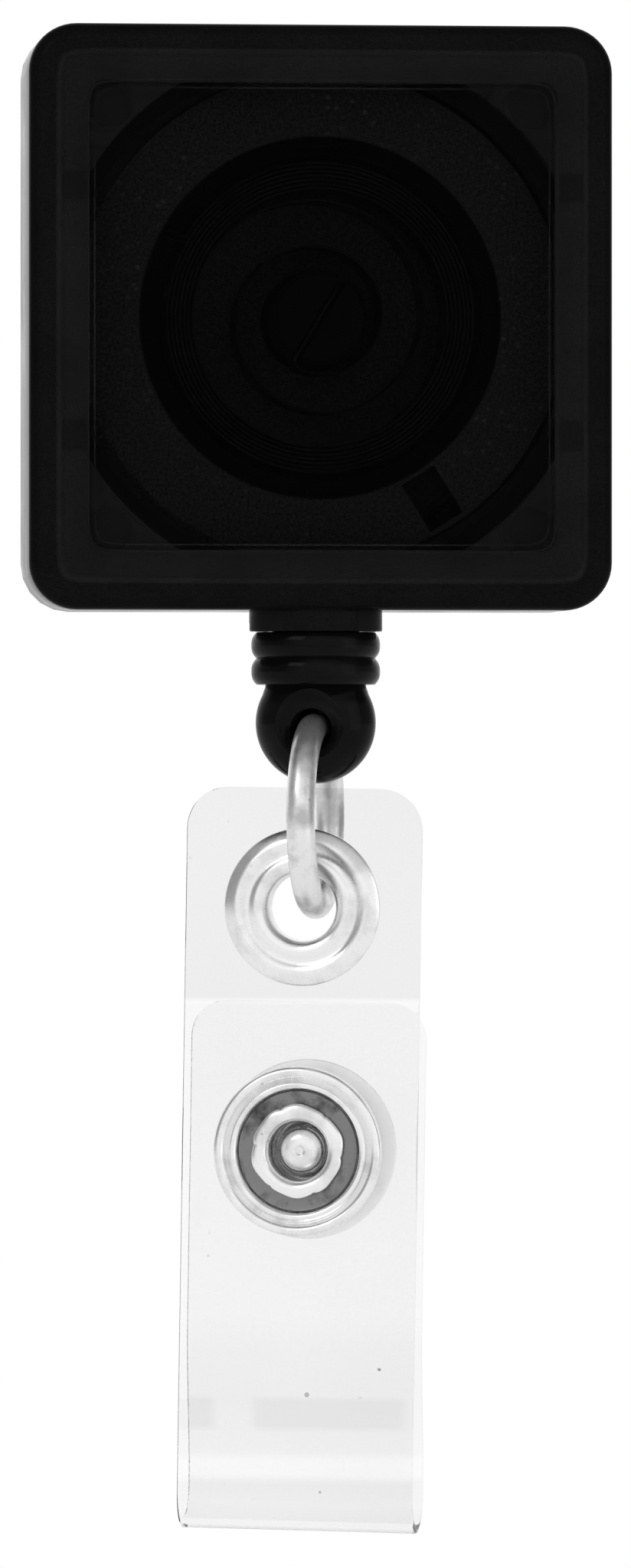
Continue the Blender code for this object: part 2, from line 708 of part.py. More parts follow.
def fitting_profile():
    """The fitting's turned outline, from its spigot down to the tip of the ball."""
    soft = 0.15 * MM
    rib_two_top = RIBS_TOP - RIB_HEIGHT - RIB_GROOVE
    ribs_end = RIBS_TOP - RIBS_HEIGHT
    profile = [
        (0, SPIGOT_TOP),
        (SPIGOT_R - soft, SPIGOT_TOP),
        (SPIGOT_R, SPIGOT_TOP - soft),
        (SPIGOT_R, RIBS_TOP),
        (FITTING_R - soft, RIBS_TOP),
        (FITTING_R, RIBS_TOP - soft),
        (FITTING_R, RIBS_TOP - RIB_HEIGHT + soft),
        (FITTING_R - 0.22 * MM, RIBS_TOP - RIB_HEIGHT),
        (FITTING_R - 0.22 * MM, rib_two_top),
        (FITTING_R - 0.05 * MM, rib_two_top - soft),
        (FITTING_R - 0.05 * MM, ribs_end + 2 * soft),
        (JUNCTION_R, ribs_end),
    ]
    start = math.degrees(math.asin(min((ribs_end - BALL_AT) / BALL_R, 0.95))) - 12
    profile += arc((0, BALL_AT), BALL_R, start, -90, 9)
    profile[-1] = (0, BALL_AT - BALL_R)
    return profile


def flatten_ball(mesh):
    """Bring the ball's front and rear in, so that it is a thick coin and not a sphere."""
    blend = RIBS_TOP - RIBS_HEIGHT
    flat = BALL_T / (2 * BALL_R)
    for vertex in mesh.verts:
        if vertex.co.y < blend - 1e-7:
            vertex.co.z *= flat
    return mesh


def eye_cutter():
    """The eye's bore along the front axis, dished at both ends."""
    far = BALL_R + OVERCUT
    face = BALL_T / 2
    profile = [(0, -far), (EYE_DISH_R + 0.5 * MM, -far), (EYE_DISH_R, -face + 0.35 * MM)]
    profile += [(EYE_R, -EYE_LAND), (EYE_R, EYE_LAND)]
    profile += [(EYE_DISH_R, face - 0.35 * MM), (EYE_DISH_R + 0.5 * MM, far), (0, far)]
    return moved(turned(profile, 28), (0, EYE_AT, 0))


def add_end_fitting(turning, finish):
    body = flatten_ball(turned(fitting_profile(), 30, "Y"))
    fitting = to_object("end_fitting", body, turning, finish)
    bore = turned(
        [
            (0, SPIGOT_TOP + OVERCUT),
            (CORD_HOLE_R, SPIGOT_TOP + OVERCUT),
            (CORD_HOLE_R, SHOULDER_AT),
            (KNOT_BORE_R, SHOULDER_AT),
            (KNOT_BORE_R, EYE_AT + 0.4 * EYE_R),
            (0, EYE_AT + 0.4 * EYE_R),
        ],
        20,
        "Y",
    )
    cut(fitting, to_object("fitting_cord_bore", bore, turning))
    cut(fitting, to_object("fitting_eye", eye_cutter(), turning))
    return fitting


def add_knot(cord_end, finish):
    """The stopper knot: a ball with three wraps of cord."""
    centre = SHOULDER_AT - RUN_GAP - KNOT_R
    profile = []
    steps = 12
    for step in range(steps + 1):
        angle = math.pi * step / steps
        lobe = 1 + 0.06 * math.cos(6 * angle)
        radius = KNOT_R / 1.06 * lobe * math.sin(angle)
        profile.append((max(radius, 0.0), centre + KNOT_R / 1.06 * lobe * math.cos(angle)))
    profile[0] = (0, profile[0][1])
    profile[-1] = (0, profile[-1][1])
    return to_object("cord_knot", turned(profile, 16, "Y"), cord_end, finish)


def add_link(swing, finish):
    """A closed ring of round wire in the plane of depth and height. The swing empty is on its axis."""
    mesh = bmesh.new()
    around = 40
    sides = 8
    centre = LINK_CENTRE - LINK_AXIS
    rings = []
    for i in range(around):
        angle = 2 * math.pi * i / around
        ring = []
        for j in range(sides):
            turn = 2 * math.pi * j / sides
            radius = LINK_R + WIRE_D / 2 * math.cos(turn)
            x = WIRE_D / 2 * math.sin(turn)
            ring.append(mesh.verts.new((x, centre + radius * math.sin(angle), radius * math.cos(angle))))
        rings.append(ring)
    for i in range(around):
        near = rings[i]
        far = rings[(i + 1) % around]
        for j in range(sides):
            k = (j + 1) % sides
            mesh.faces.new((near[j], near[k], far[k], far[j]))
    return to_object("wire_link", mesh, swing, finish)


# Strap. Heights are above the strap's pivot, the link's lower bar. Depth goes to the rear.


def fold_point(angle, radius=FOLD_R):
    return (FOLD_R - radius * math.cos(angle), FOLD_CENTRE - radius * math.sin(angle))


def fold_hinge():
    """The flap turns about a line on the fold's outer face."""
    return fold_point(FOLD_HINGE_ANGLE, FOLD_OUT_R)


def fold_points(start, end, steps):
    return [fold_point(start + (end - start) * step / steps) for step in range(steps + 1)]


def flap_depth(height):
    """How far the flap is behind the front layer: the fold's width, easing to the snap's."""
    rise = min(max((height - FOLD_CENTRE) / FLAP_RUN, 0.0), 1.0)
    ease = rise * rise * (3 - 2 * rise)
    return 2 * FOLD_R + (FLAP_DEPTH - 2 * FOLD_R) * ease


def add_strap_front(strap, finish):
    gap = SEAM_GAP / FOLD_R
    ends = rounded_end(STRAP_CORNER_R)
    path = [(0.0, STRAP_TOP - distance) for distance in ends]
    widths = end_widths(ends, STRAP_WIDTH, STRAP_CORNER_R)
    fold = fold_points(0.0, FOLD_HINGE_ANGLE - gap, 5)
    path += fold
    widths += [STRAP_WIDTH / 2] * len(fold)
    front = to_object("strap_front", ribbon(path, widths, STRAP_T), strap, finish)
    grommet_hole = disc(GROMMET_BORE_R + GROMMET_SHELL + SEAM_GAP, -OVERCUT, OVERCUT, 28)
    cut(front, to_object("grommet_hole", moved(grommet_hole, (0, -GROMMET_DROP, 0)), strap))
    snap_hole = disc(SNAP_BORE_R + SNAP_SHELL + SEAM_GAP, -OVERCUT, OVERCUT, 28)
    cut(front, to_object("snap_hole", moved(snap_hole, (0, -SNAP_DROP, 0)), strap))
    return front


def add_strap_flap(flap, finish):
    """The strap's rear layer with the rest of the fold. The flap empty is on the hinge line."""
    depth, height = fold_hinge()
    gap = SEAM_GAP / FOLD_R
    fold = fold_points(FOLD_HINGE_ANGLE + gap, math.pi, 8)
    top = -FLAP_TOP_DROP
    rising = [FOLD_CENTRE + FLAP_RUN * step / 8 for step in range(1, 9)]
    ends = rounded_end(FLAP_CORNER_R)[::-1]
    path = fold + [(flap_depth(h), h) for h in rising]
    widths = [STRAP_WIDTH / 2] * len(path) + end_widths(ends, STRAP_WIDTH, FLAP_CORNER_R)
    path += [(FLAP_DEPTH, top - distance) for distance in ends]
    path = [(d - depth, h - height) for d, h in path]
    made = to_object("strap_flap", ribbon(path, widths, STRAP_T), flap, finish)
    hole = disc(CAP_POST_R + 0.3 * MM, -FLAP_DEPTH - OVERCUT, -FLAP_DEPTH + OVERCUT, 20)
    cut(made, to_object("cap_hole", moved(hole, (0, -SNAP_DROP - height, depth)), flap))
    return made


# Grommet and snap. Heights in these profiles go to the front, from the middle of the front layer.


def add_grommet(strap, finish):
    face = STRAP_T / 2 + RIVETED_GAP
    bore = GROMMET_BORE_R
    barrel = bore + GROMMET_SHELL
    outer = GROMMET_R
    washer_t = 0.40 * MM
    back = -face - washer_t - RIVETED_GAP
    profile = [
        (barrel, face),
        (outer, face),
        (outer, face + 0.12 * MM),
        (outer - 0.25 * MM, face + 0.36 * MM),
        (outer - 0.62 * MM, face + 0.55 * MM),
        (outer - 0.92 * MM, face + 0.44 * MM),
        (outer - 1.17 * MM, face + 0.34 * MM),
        (outer - 1.42 * MM, face + 0.44 * MM),
        (outer - 1.72 * MM, face + 0.55 * MM),
        (bore + 0.25 * MM, face + 0.36 * MM),
        (bore, face),
        (bore, back),
        (bore + 0.12 * MM, back - 0.30 * MM),
        (bore + 0.45 * MM, back - 0.42 * MM),
        (bore + 0.85 * MM, back - 0.32 * MM),
        (bore + 0.95 * MM, back - 0.12 * MM),
        (bore + 0.80 * MM, back),
        (barrel, back),
    ]
    centre = (0, -GROMMET_DROP, 0)
    grommet = to_object("grommet", moved(turned(profile, 26), centre), strap, finish)
    washer_bore = barrel + RIVETED_GAP
    washer = [
        (washer_bore, -face),
        (washer_bore, -face - washer_t),
        (bore + 1.2 * MM, -face - washer_t),
        (outer - 0.7 * MM, -face - washer_t - 0.15 * MM),
        (outer - 0.25 * MM, -face - 0.25 * MM),
        (outer - 0.2 * MM, -face),
    ]
    to_object("grommet_washer", moved(turned(washer, 26), centre), strap, finish)
    return grommet


def add_snap_front(strap, finish):
    """The ring on the strap's face, and the socket behind it whose barrel is clinched over the ring."""
    face = STRAP_T / 2 + RIVETED_GAP
    bore = SNAP_BORE_R
    barrel = bore + SNAP_SHELL
    outer = SNAP_RING_R
    well = face + 0.26 * MM
    centre = (0, -SNAP_DROP, 0)
    ring = [
        (barrel + RIVETED_GAP, face),
        (outer - 0.12 * MM, face),
        (outer, face + 0.20 * MM),
        (outer, face + 0.45 * MM),
        (outer - 0.15 * MM, face + 0.68 * MM),
        (outer - 0.35 * MM, face + 0.75 * MM),
        (outer - 0.55 * MM, face + 0.65 * MM),
        (outer - 0.72 * MM, face + 0.42 * MM),
        (outer - 0.85 * MM, face + 0.50 * MM),
        (outer - 1.05 * MM, face + 0.62 * MM),
        (outer - 1.25 * MM, face + 0.55 * MM),
        (outer - 1.50 * MM, well),
        (barrel + RIVETED_GAP, well),
    ]
    to_object("snap_ring", moved(turned(ring, 28), centre), strap, finish)
    clinch = well + RIVETED_GAP
    cup = -face - 1.45 * MM
    socket = [
        (bore + 0.13 * MM, cup),
        (SOCKET_CUP_R - 0.2 * MM, cup),
        (SOCKET_CUP_R, cup + 0.2 * MM),
        (SOCKET_CUP_R, -face - 0.45 * MM),
        (SOCKET_R - 0.12 * MM, -face - 0.40 * MM),
        (SOCKET_R, -face - 0.25 * MM),
        (SOCKET_R - 0.12 * MM, -face),
        (barrel, -face),
        (barrel, clinch),
        (barrel + 0.50 * MM, clinch + 0.06 * MM),
        (barrel + 0.55 * MM, clinch + 0.20 * MM),
        (barrel + 0.40 * MM, clinch + 0.34 * MM),
        (barrel, clinch + 0.36 * MM),
        (bore, clinch + 0.10 * MM),
        (bore, -face - 0.40 * MM),
        (bore + 0.90 * MM, -face - 0.40 * MM),
        (bore + 0.90 * MM, -face - 1.05 * MM),
        (bore + 0.13 * MM, -face - 1.05 * MM),
    ]
    made = to_object("snap_socket", moved(turned(socket, 26), centre), strap, finish)
    gauge = 0.18 * MM
    ring_r = bore + 0.90 * MM - gauge - SEAM_GAP
    middle = -face - 0.72 * MM
    wire = [(ring_r + p, middle + h) for p, h in arc((0, 0), gauge, 0, 300, 5)]
    spring = to_object("snap_spring", moved(turned(wire, 24), centre), strap, finish)
    opening = block((-0.35 * MM, 0, middle - OVERCUT), (0.35 * MM, ring_r + OVERCUT, middle + OVERCUT))
    cut(spring, to_object("snap_spring_opening", moved(opening, centre), strap))
    return made


def add_snap_rear(flap, finish):
    """The stud on the flap's inner face, and the cap behind whose post holds it."""
    depth, height = fold_hinge()
    face = -FLAP_DEPTH + STRAP_T / 2 + RIVETED_GAP
    hollow = CAP_POST_R + SEAM_GAP
    tip = -0.10 * MM
    centre = (0, -SNAP_DROP - height, depth)
    stud = [
        (hollow, face),
        (STUD_FLANGE_R, face),
        (STUD_FLANGE_R, face + 0.12 * MM),
        (STUD_NECK_R + 0.35 * MM, face + 0.20 * MM),
        (STUD_NECK_R, face + 0.45 * MM),
        (STUD_NECK_R, tip - 1.10 * MM),
        (STUD_HEAD_R, tip - 0.85 * MM),
        (STUD_HEAD_R, tip - 0.60 * MM),
        (STUD_HEAD_R - 0.36 * MM, tip - 0.25 * MM),
        (hollow, tip),
    ]
    made = to_object("snap_stud", moved(turned(stud, 22), centre), flap, finish)
    back = -FLAP_DEPTH - STRAP_T / 2 - RIVETED_GAP
    cap = [
        (0, back - 0.80 * MM),
        (0.55 * CAP_R, back - 0.70 * MM),
        (CAP_R - 0.6 * MM, back - 0.45 * MM),
        (CAP_R - 0.1 * MM, back - 0.20 * MM),
        (CAP_R, back - 0.10 * MM),
        (CAP_R - 0.1 * MM, back),
        (CAP_POST_R, back),
        (CAP_POST_R, tip - 0.20 * MM),
        (0.55 * CAP_POST_R, tip - 0.02 * MM),
        (0.3 * CAP_POST_R, tip + 0.05 * MM),
        (0, tip + 0.12 * MM),
    ]
    to_object("snap_cap", moved(turned(cap, 24), centre), flap, finish)
    return made


# Slide clip. Depth goes to the rear from the belt seat.


def clip_bend_point(angle):
    """A point of the bend's middle line: 0 at the fixed leg's top, pi at the sprung leg."""
    middle = BELT_GAP / 2
    return (middle - CLIP_BEND_R * math.cos(angle), CLIP_TOP + CLIP_BEND_R * math.sin(angle))


def add_clip_base(reel, finish):
    """The fixed leg, with a pressed dimple that sinks the rivet's head below the belt seat."""
    outline = rounded_rectangle(CLIP_WIDTH, CLIP_LEG, CLIP_CORNER_R, 4, (0, CLIP_TOP - CLIP_LEG / 2))
    lower = [(x, y) for x, y in outline if y < CLIP_TOP - CLIP_LEG / 2]
    corners = lower + [(CLIP_WIDTH / 2, CLIP_TOP), (-CLIP_WIDTH / 2, CLIP_TOP)]
    base = to_object("clip_base", stack([(corners, 0.0), (corners, CLIP_T)]), reel, finish)
    floor = CLIP_T + DIMPLE_DEPTH
    pad = turned(
        [
            (0, 0.1 * MM),
            (DIMPLE_R + CLIP_T, 0.1 * MM),
            (DIMPLE_R + CLIP_T, CLIP_T - 0.05 * MM),
            (DIMPLE_R - 0.1 * MM, floor),
            (0, floor),
        ],
        36,
    )
    recess = turned(
        [
            (0, -OVERCUT),
            (DIMPLE_R + 0.3 * MM, -OVERCUT),
            (DIMPLE_R + 0.3 * MM, 0.1 * MM),
            (DIMPLE_R - 0.2 * MM, DIMPLE_DEPTH),
            (0, DIMPLE_DEPTH),
        ],
        36,
    )
    fuse(base, to_object("dimple_pad", pad, reel))
    cut(base, to_object("dimple_recess", recess, reel))
    cut(base, to_object("base_rivet_hole", disc(RIVET_BORE_R, 0, floor + OVERCUT, 24), reel))
    return base


def add_clip_tongue(flex, finish):
    """The bend and the sprung leg with its pinch and flared lip. The flex empty is on the hinge line."""
    start = CLIP_JOINT_GAP / CLIP_BEND_R
    steps = 10
    path = []
    for step in range(steps + 1):
        path.append(clip_bend_point(start + (math.pi - start) * step / steps))
    depth = path[-1][0]
    pinch = (depth - PINCH_IN, CLIP_TOP - TONGUE_STRAIGHT - PINCH_DROP)
    path.append((depth, CLIP_TOP - TONGUE_STRAIGHT + 0.6 * MM))
    path.append((depth - 0.06 * PINCH_IN, CLIP_TOP - TONGUE_STRAIGHT - 0.6 * MM))
    path.append((pinch[0] + 0.12 * PINCH_IN, pinch[1] + 0.7 * MM))
    path.append(pinch)
    path.append((pinch[0] + 0.12 * LIP_OUT, pinch[1] - 0.7 * MM))
    ends = rounded_end(CLIP_CORNER_R, 4)[::-1]
    tip = Vector((pinch[0] + LIP_OUT, pinch[1] - LIP_DROP))
    back = (Vector(path[-1]) - tip).normalized()
    widths = [CLIP_WIDTH / 2] * len(path) + end_widths(ends, CLIP_WIDTH, CLIP_CORNER_R)
    path += [tuple(tip + back * distance) for distance in ends]
    path = [(d + CLIP_T / 2, h - CLIP_TOP) for d, h in path]
    tongue = to_object("clip_tongue", ribbon(path, widths, CLIP_T), flex, finish)
    hole = disc(TOOL_HOLE_R, -BELT_GAP - 3 * CLIP_T, -BELT_GAP + CLIP_T, 28)
    cut(tongue, to_object("tool_hole", moved(hole, (0, -CLIP_TOP, 0)), flex))
    return tongue


def add_rivet(reel, finish):
    """A barbed rivet driven into the arbor's blind bore, its domed head down in the dimple."""
    head_back = RIVETED_GAP
    head_front = DIMPLE_DEPTH - RIVETED_GAP
    profile = [
        (0, head_back),
        (0.6 * RIVET_HEAD_R, head_back + 0.06 * MM),
        (RIVET_HEAD_R - 0.1 * MM, head_back + 0.28 * MM),
        (RIVET_HEAD_R, head_front),
        (RIVET_SHANK_R, head_front),
    ]
    barb = 0.12 * MM
    pitch = 0.45 * MM
    for i in range(3):
        at = RIVET_REACH - 1.6 * MM + i * pitch
        profile += [(RIVET_SHANK_R, at), (RIVET_SHANK_R - barb, at + 0.1 * MM)]
        profile += [(RIVET_SHANK_R - barb, at + 0.2 * MM)]
    profile += [(RIVET_SHANK_R - barb, RIVET_REACH - 0.3 * MM), (0.5 * RIVET_SHANK_R, RIVET_REACH)]
    profile += [(0, RIVET_REACH)]
    return to_object("clip_rivet", turned(profile, 18), reel, finish)


def main():
    clear_scene()
    smoke = material("smoke_plastic", (0.012, 0.012, 0.013), 0.25, transmission=0.35)
    black = material("black_plastic", (0.006, 0.006, 0.007), 0.22)
    spool_grey = material("spool_plastic", (0.020, 0.020, 0.021), 0.45)
    spring_steel = material("spring_steel", (0.33, 0.34, 0.36), 0.32, 1.0)
    clip_steel = material("clip_steel", (0.62, 0.62, 0.63), 0.25, 1.0)
    chrome = material("bright_plate", (0.80, 0.80, 0.81), 0.12, 1.0)
    nylon = material("braided_cord", (0.015, 0.015, 0.016), 0.8)
    vinyl = material("clear_vinyl", (0.90, 0.91, 0.92), 0.12, transmission=0.85)

    # Case space: its axes are right, up and front in the world's X, Z and -Y.
    reel = empty("reel_space", None, (0, 0, SEAT_BELOW_RIVET), (math.radians(90), 0, 0))
    add_front_shell(reel, smoke)
    add_rear_shell(reel, smoke)
    add_clip_base(reel, clip_steel)
    add_rivet(reel, chrome)
    flex = empty("clip_flex_axis", reel, (0, CLIP_TOP, CLIP_T / 2))
    add_clip_tongue(flex, clip_steel)

    spin = empty("spool_axis", reel)
    add_spool(spin, spool_grey)
    spring, tail_angle = add_mainspring(spin, spring_steel)
    add_winding(spin, nylon)
    turn_arbor_slot(tail_angle)

    run = cord_run_points()
    cord_tube("cord_run", run, reel, nylon)
    cord_end = empty("cord_end_axis", reel, (0, 0, MID))
    lead_top = run[-1][1] - RUN_GAP
    knot_top = SHOULDER_AT - RUN_GAP
    cord_tube("cord_lead", [(0, lead_top, 0), (0, knot_top + SEAM_GAP, 0)], cord_end, nylon)
    add_knot(cord_end, nylon)

    turning = empty("hang_space", cord_end, (0, 0, 0), (0, HANG_TWIST, 0))
    add_end_fitting(turning, black)
    swing = empty("link_axis", turning, (0, LINK_AXIS, 0))
    add_link(swing, chrome)
    swaying = empty("strap_axis", swing, (0, BAR_AT - LINK_AXIS, 0), (0, 0, STRAP_LEAN))
    strap = empty("strap_space", swaying, (STRAP_SHIFT, 0, 0))
    add_strap_front(strap, vinyl)
    add_grommet(strap, chrome)
    add_snap_front(strap, chrome)
    depth, height = fold_hinge()
    flap = empty("flap_axis", strap, (0, height, -depth))
    add_strap_flap(flap, vinyl)
    add_snap_rear(flap, chrome)


def turn_arbor_slot(angle):
    """Line the arbor's slot up with the mainspring's tail."""
    bpy.data.objects["arbor_slot"].rotation_euler.z = angle


main()
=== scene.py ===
import math

import bmesh
import bpy
from mathutils import Matrix, Vector


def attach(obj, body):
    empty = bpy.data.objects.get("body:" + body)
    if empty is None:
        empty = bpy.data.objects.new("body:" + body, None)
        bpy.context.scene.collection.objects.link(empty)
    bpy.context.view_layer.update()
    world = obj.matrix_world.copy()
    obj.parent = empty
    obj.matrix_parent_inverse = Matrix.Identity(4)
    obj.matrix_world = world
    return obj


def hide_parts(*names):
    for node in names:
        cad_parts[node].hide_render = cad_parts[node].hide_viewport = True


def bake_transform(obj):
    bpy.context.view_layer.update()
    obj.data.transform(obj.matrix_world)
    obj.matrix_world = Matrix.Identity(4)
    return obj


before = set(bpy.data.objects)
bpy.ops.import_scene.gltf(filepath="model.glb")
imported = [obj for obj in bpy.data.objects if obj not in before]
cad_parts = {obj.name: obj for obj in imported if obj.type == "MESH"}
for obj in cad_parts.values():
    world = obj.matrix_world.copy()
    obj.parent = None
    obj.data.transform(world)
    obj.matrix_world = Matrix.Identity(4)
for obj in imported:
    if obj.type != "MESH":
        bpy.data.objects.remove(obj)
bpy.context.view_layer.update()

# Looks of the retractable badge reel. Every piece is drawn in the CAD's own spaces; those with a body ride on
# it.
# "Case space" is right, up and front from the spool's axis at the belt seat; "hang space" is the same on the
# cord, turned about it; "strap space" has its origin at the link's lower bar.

MM = 0.001

# Sizes from the CAD
SEAM_GAP = 0.10 * MM
RUN_GAP = 0.25 * MM
FLANGE_R = 13.40 * MM
FLANGE_T = 0.70 * MM
DRUM_OUT_R = 9.86 * MM
DRUM_IN_R = 8.80 * MM
WINDING_R = 12.10 * MM
CORD_R = 0.40 * MM
ANCHOR_SLOT = (2.10 * MM, 3.00 * MM)
ANCHOR_ANGLE = math.radians(-58)
HOOK_ANGLE = math.radians(150)
ARBOR_R = 2.60 * MM
SPRING_T = 0.11 * MM
SPRING_PITCH = 0.23 * MM
SPRING_TURNS = 7
SPRING_OPEN_TURNS = 1.75
CHAMBER_R = 14.00 * MM
CHAMBER_WALL = 0.80 * MM
CASE_HALF = 15.875 * MM
CASE_CORNER_R = 2.60 * MM
CASE_EDGE_R = 1.00 * MM
CHAMBER_BACK = 2.05 * MM
MID = 5.10 * MM
CHAMBER_FRONT = 8.15 * MM
LABEL_FLOOR = 9.20 * MM
LEDGE = 9.30 * MM
CASE_FRONT = 9.90 * MM
LEDGE_WIDTH = 1.50 * MM
RIM_WIDTH = 1.675 * MM
RIM_BEVEL = 0.40 * MM
CAVITY_HALF = 14.675 * MM
PIN_R = 1.25 * MM
PIN_AT = 11.50 * MM
NECK_R = 3.63 * MM
NECK_BORE_R = 2.70 * MM
SPOOL_BACK = 2.35 * MM
SPOOL_FRONT = 7.85 * MM
SPRING_BACK = 3.175 * MM
SPRING_FRONT = 7.275 * MM
RIBS_TOP = -17.025 * MM
SPIGOT_TOP = -16.025 * MM
SPIGOT_R = 2.40 * MM
FITTING_R = 3.52 * MM
RIBS_END = -19.875 * MM
JUNCTION_R = 2.75 * MM
BALL_R = 3.30 * MM
BALL_T = 5.00 * MM
BALL_AT = -21.975 * MM
EYE_AT = -22.125 * MM
EYE_R = 1.25 * MM
EYE_DISH_R = 2.05 * MM
EYE_LAND = 1.50 * MM
WIRE_R = 0.775 * MM
LINK_AXIS = -22.325 * MM
LINK_R = 4.85 * MM
LINK_CENTRE = -27.035 * MM
BAR_AT = -31.885 * MM
STRAP_WIDTH = 13.00 * MM
STRAP_T = 0.50 * MM
STRAP_TOP = 6.37 * MM
STRAP_CORNER_R = 2.30 * MM
FLAP_TOP = -5.33 * MM
FLAP_CORNER_R = 2.00 * MM
FOLD_R = 1.85 * MM
FOLD_CENTRE = -32.18 * MM
FLAP_DEPTH = 2.45 * MM
FLAP_RUN = 9.00 * MM
SNAP_AT = -13.43 * MM
GROMMET_AT = -0.13 * MM
GROMMET_R = 4.32 * MM
GROMMET_BORE_R = 1.83 * MM
GROMMET_SHELL = 0.30 * MM
SNAP_RING_R = 4.65 * MM
SNAP_BORE_R = 1.62 * MM
SNAP_SHELL = 0.33 * MM
SOCKET_R = 4.35 * MM
SOCKET_CUP_R = 3.30 * MM
STUD_NECK_R = 1.10 * MM
STUD_HEAD_R = 1.36 * MM
STUD_FLANGE_R = 4.20 * MM
CAP_R = 4.95 * MM
CAP_POST_R = 0.65 * MM
CLIP_WIDTH = 10.00 * MM
CLIP_T = 0.60 * MM
CLIP_TOP = 11.00 * MM
CLIP_LEG = 22.00 * MM
CLIP_CORNER_R = 1.50 * MM
BELT_GAP = 4.60 * MM
AXIS_UP = 7.50 * MM
HANG_TWIST = math.radians(-15)
STRAP_LEAN = math.radians(-0.9)
STRAP_SHIFT = -0.68 * MM

CASE = Matrix.Translation((0, 0, AXIS_UP)) @ Matrix.Rotation(math.radians(90), 4, "X")
HANG = CASE @ Matrix.Translation((0, 0, MID)) @ Matrix.Rotation(HANG_TWIST, 4, "Y")
STRAP = HANG @ Matrix.Translation((0, BAR_AT, 0)) @ Matrix.Rotation(STRAP_LEAN, 4, "Z")
STRAP = STRAP @ Matrix.Translation((STRAP_SHIFT, 0, 0))

# Sizes that are only drawn here, or drawn a little closer than in the CAD
NECK_END = -17.005 * MM
RIB_GROOVE = 0.28 * MM
PANEL_CORNER_R = 0.90 * MM
PANEL_EDGE_SOFT = 0.10 * MM
CORD_BORE_R = 0.65 * MM
KNOT_BORE_R = 1.35 * MM
KNOT_SHELF = 0.70 * MM
THROAT_R = 0.97 * MM
THROAT_FLARE = 0.17 * MM
LINK_JOINT = 88
SHELL_GAP = 0.05 * MM
VINYL_EDGE_R = 0.08 * MM
CLIP_EDGE_R = 0.12 * MM
# The sprung leg past its straight run, in mm: how far nearer the casing, and how far below the bend
CLIP_BEND = ((0.03, 14.0), (0.102, 14.6), (1.496, 19.3), (1.64, 19.75), (1.70, 20.0), (1.66, 20.25),
             (1.532, 20.7))
CLIP_TIP = (0.30, 23.5)

# Where the looks change, in mm: the ramps' full lengths, and heights in the world
CASE_RAMP = 16.0
SPOOL_RAMP = 14.0
VINYL_RAMP = (-60.0, 44.0)
HOOK_ROWS = ((13.7, 15.3), (0.2, 1.9))
# Painted reflection patches on the vinyl: across from, across to and softness, in mm.
PAINTED_REFLECTION_PATCHES = ((-7.6, -5.3, 0.15), (-3.2, 4.9, 0.25))
DUST_DOTS = ((-0.5, -51.1, 0.13), (-4.0, -49.7, 0.06), (-5.7, -53.5, 0.09), (3.4, -49.7, 0.08),
             (0.2, -56.4, 0.07))
SQUARE_POWER = 28.0


# Materials


class Nodes:
    """A node tree, with short calls for adding nodes and joining them."""

    def __init__(self, tree):
        self.tree = tree

    def node(self, kind, **settings):
        made = self.tree.nodes.new("ShaderNode" + kind)
        for key, value in settings.items():
            setattr(made, key, value)
        return made

    def feed(self, socket, value):
        if hasattr(value, "is_output"):
            self.tree.links.new(value, socket)
        else:
            socket.default_value = value

    def math(self, operation, *values, clamp=False):
        made = self.node("Math", operation=operation, use_clamp=clamp)
        for socket, value in zip(made.inputs, values):
            self.feed(socket, value)
        return made.outputs[0]

    def map_range(self, value, start, end, low=0.0, high=1.0):
        """A soft step from low to high while the value goes from start to end."""
        made = self.node("MapRange", interpolation_type="SMOOTHSTEP")
        self.feed(made.inputs["Value"], value)
        for name, limit in (("From Min", start), ("From Max", end), ("To Min", low), ("To Max", high)):
            made.inputs[name].default_value = limit
        return made.outputs["Result"]


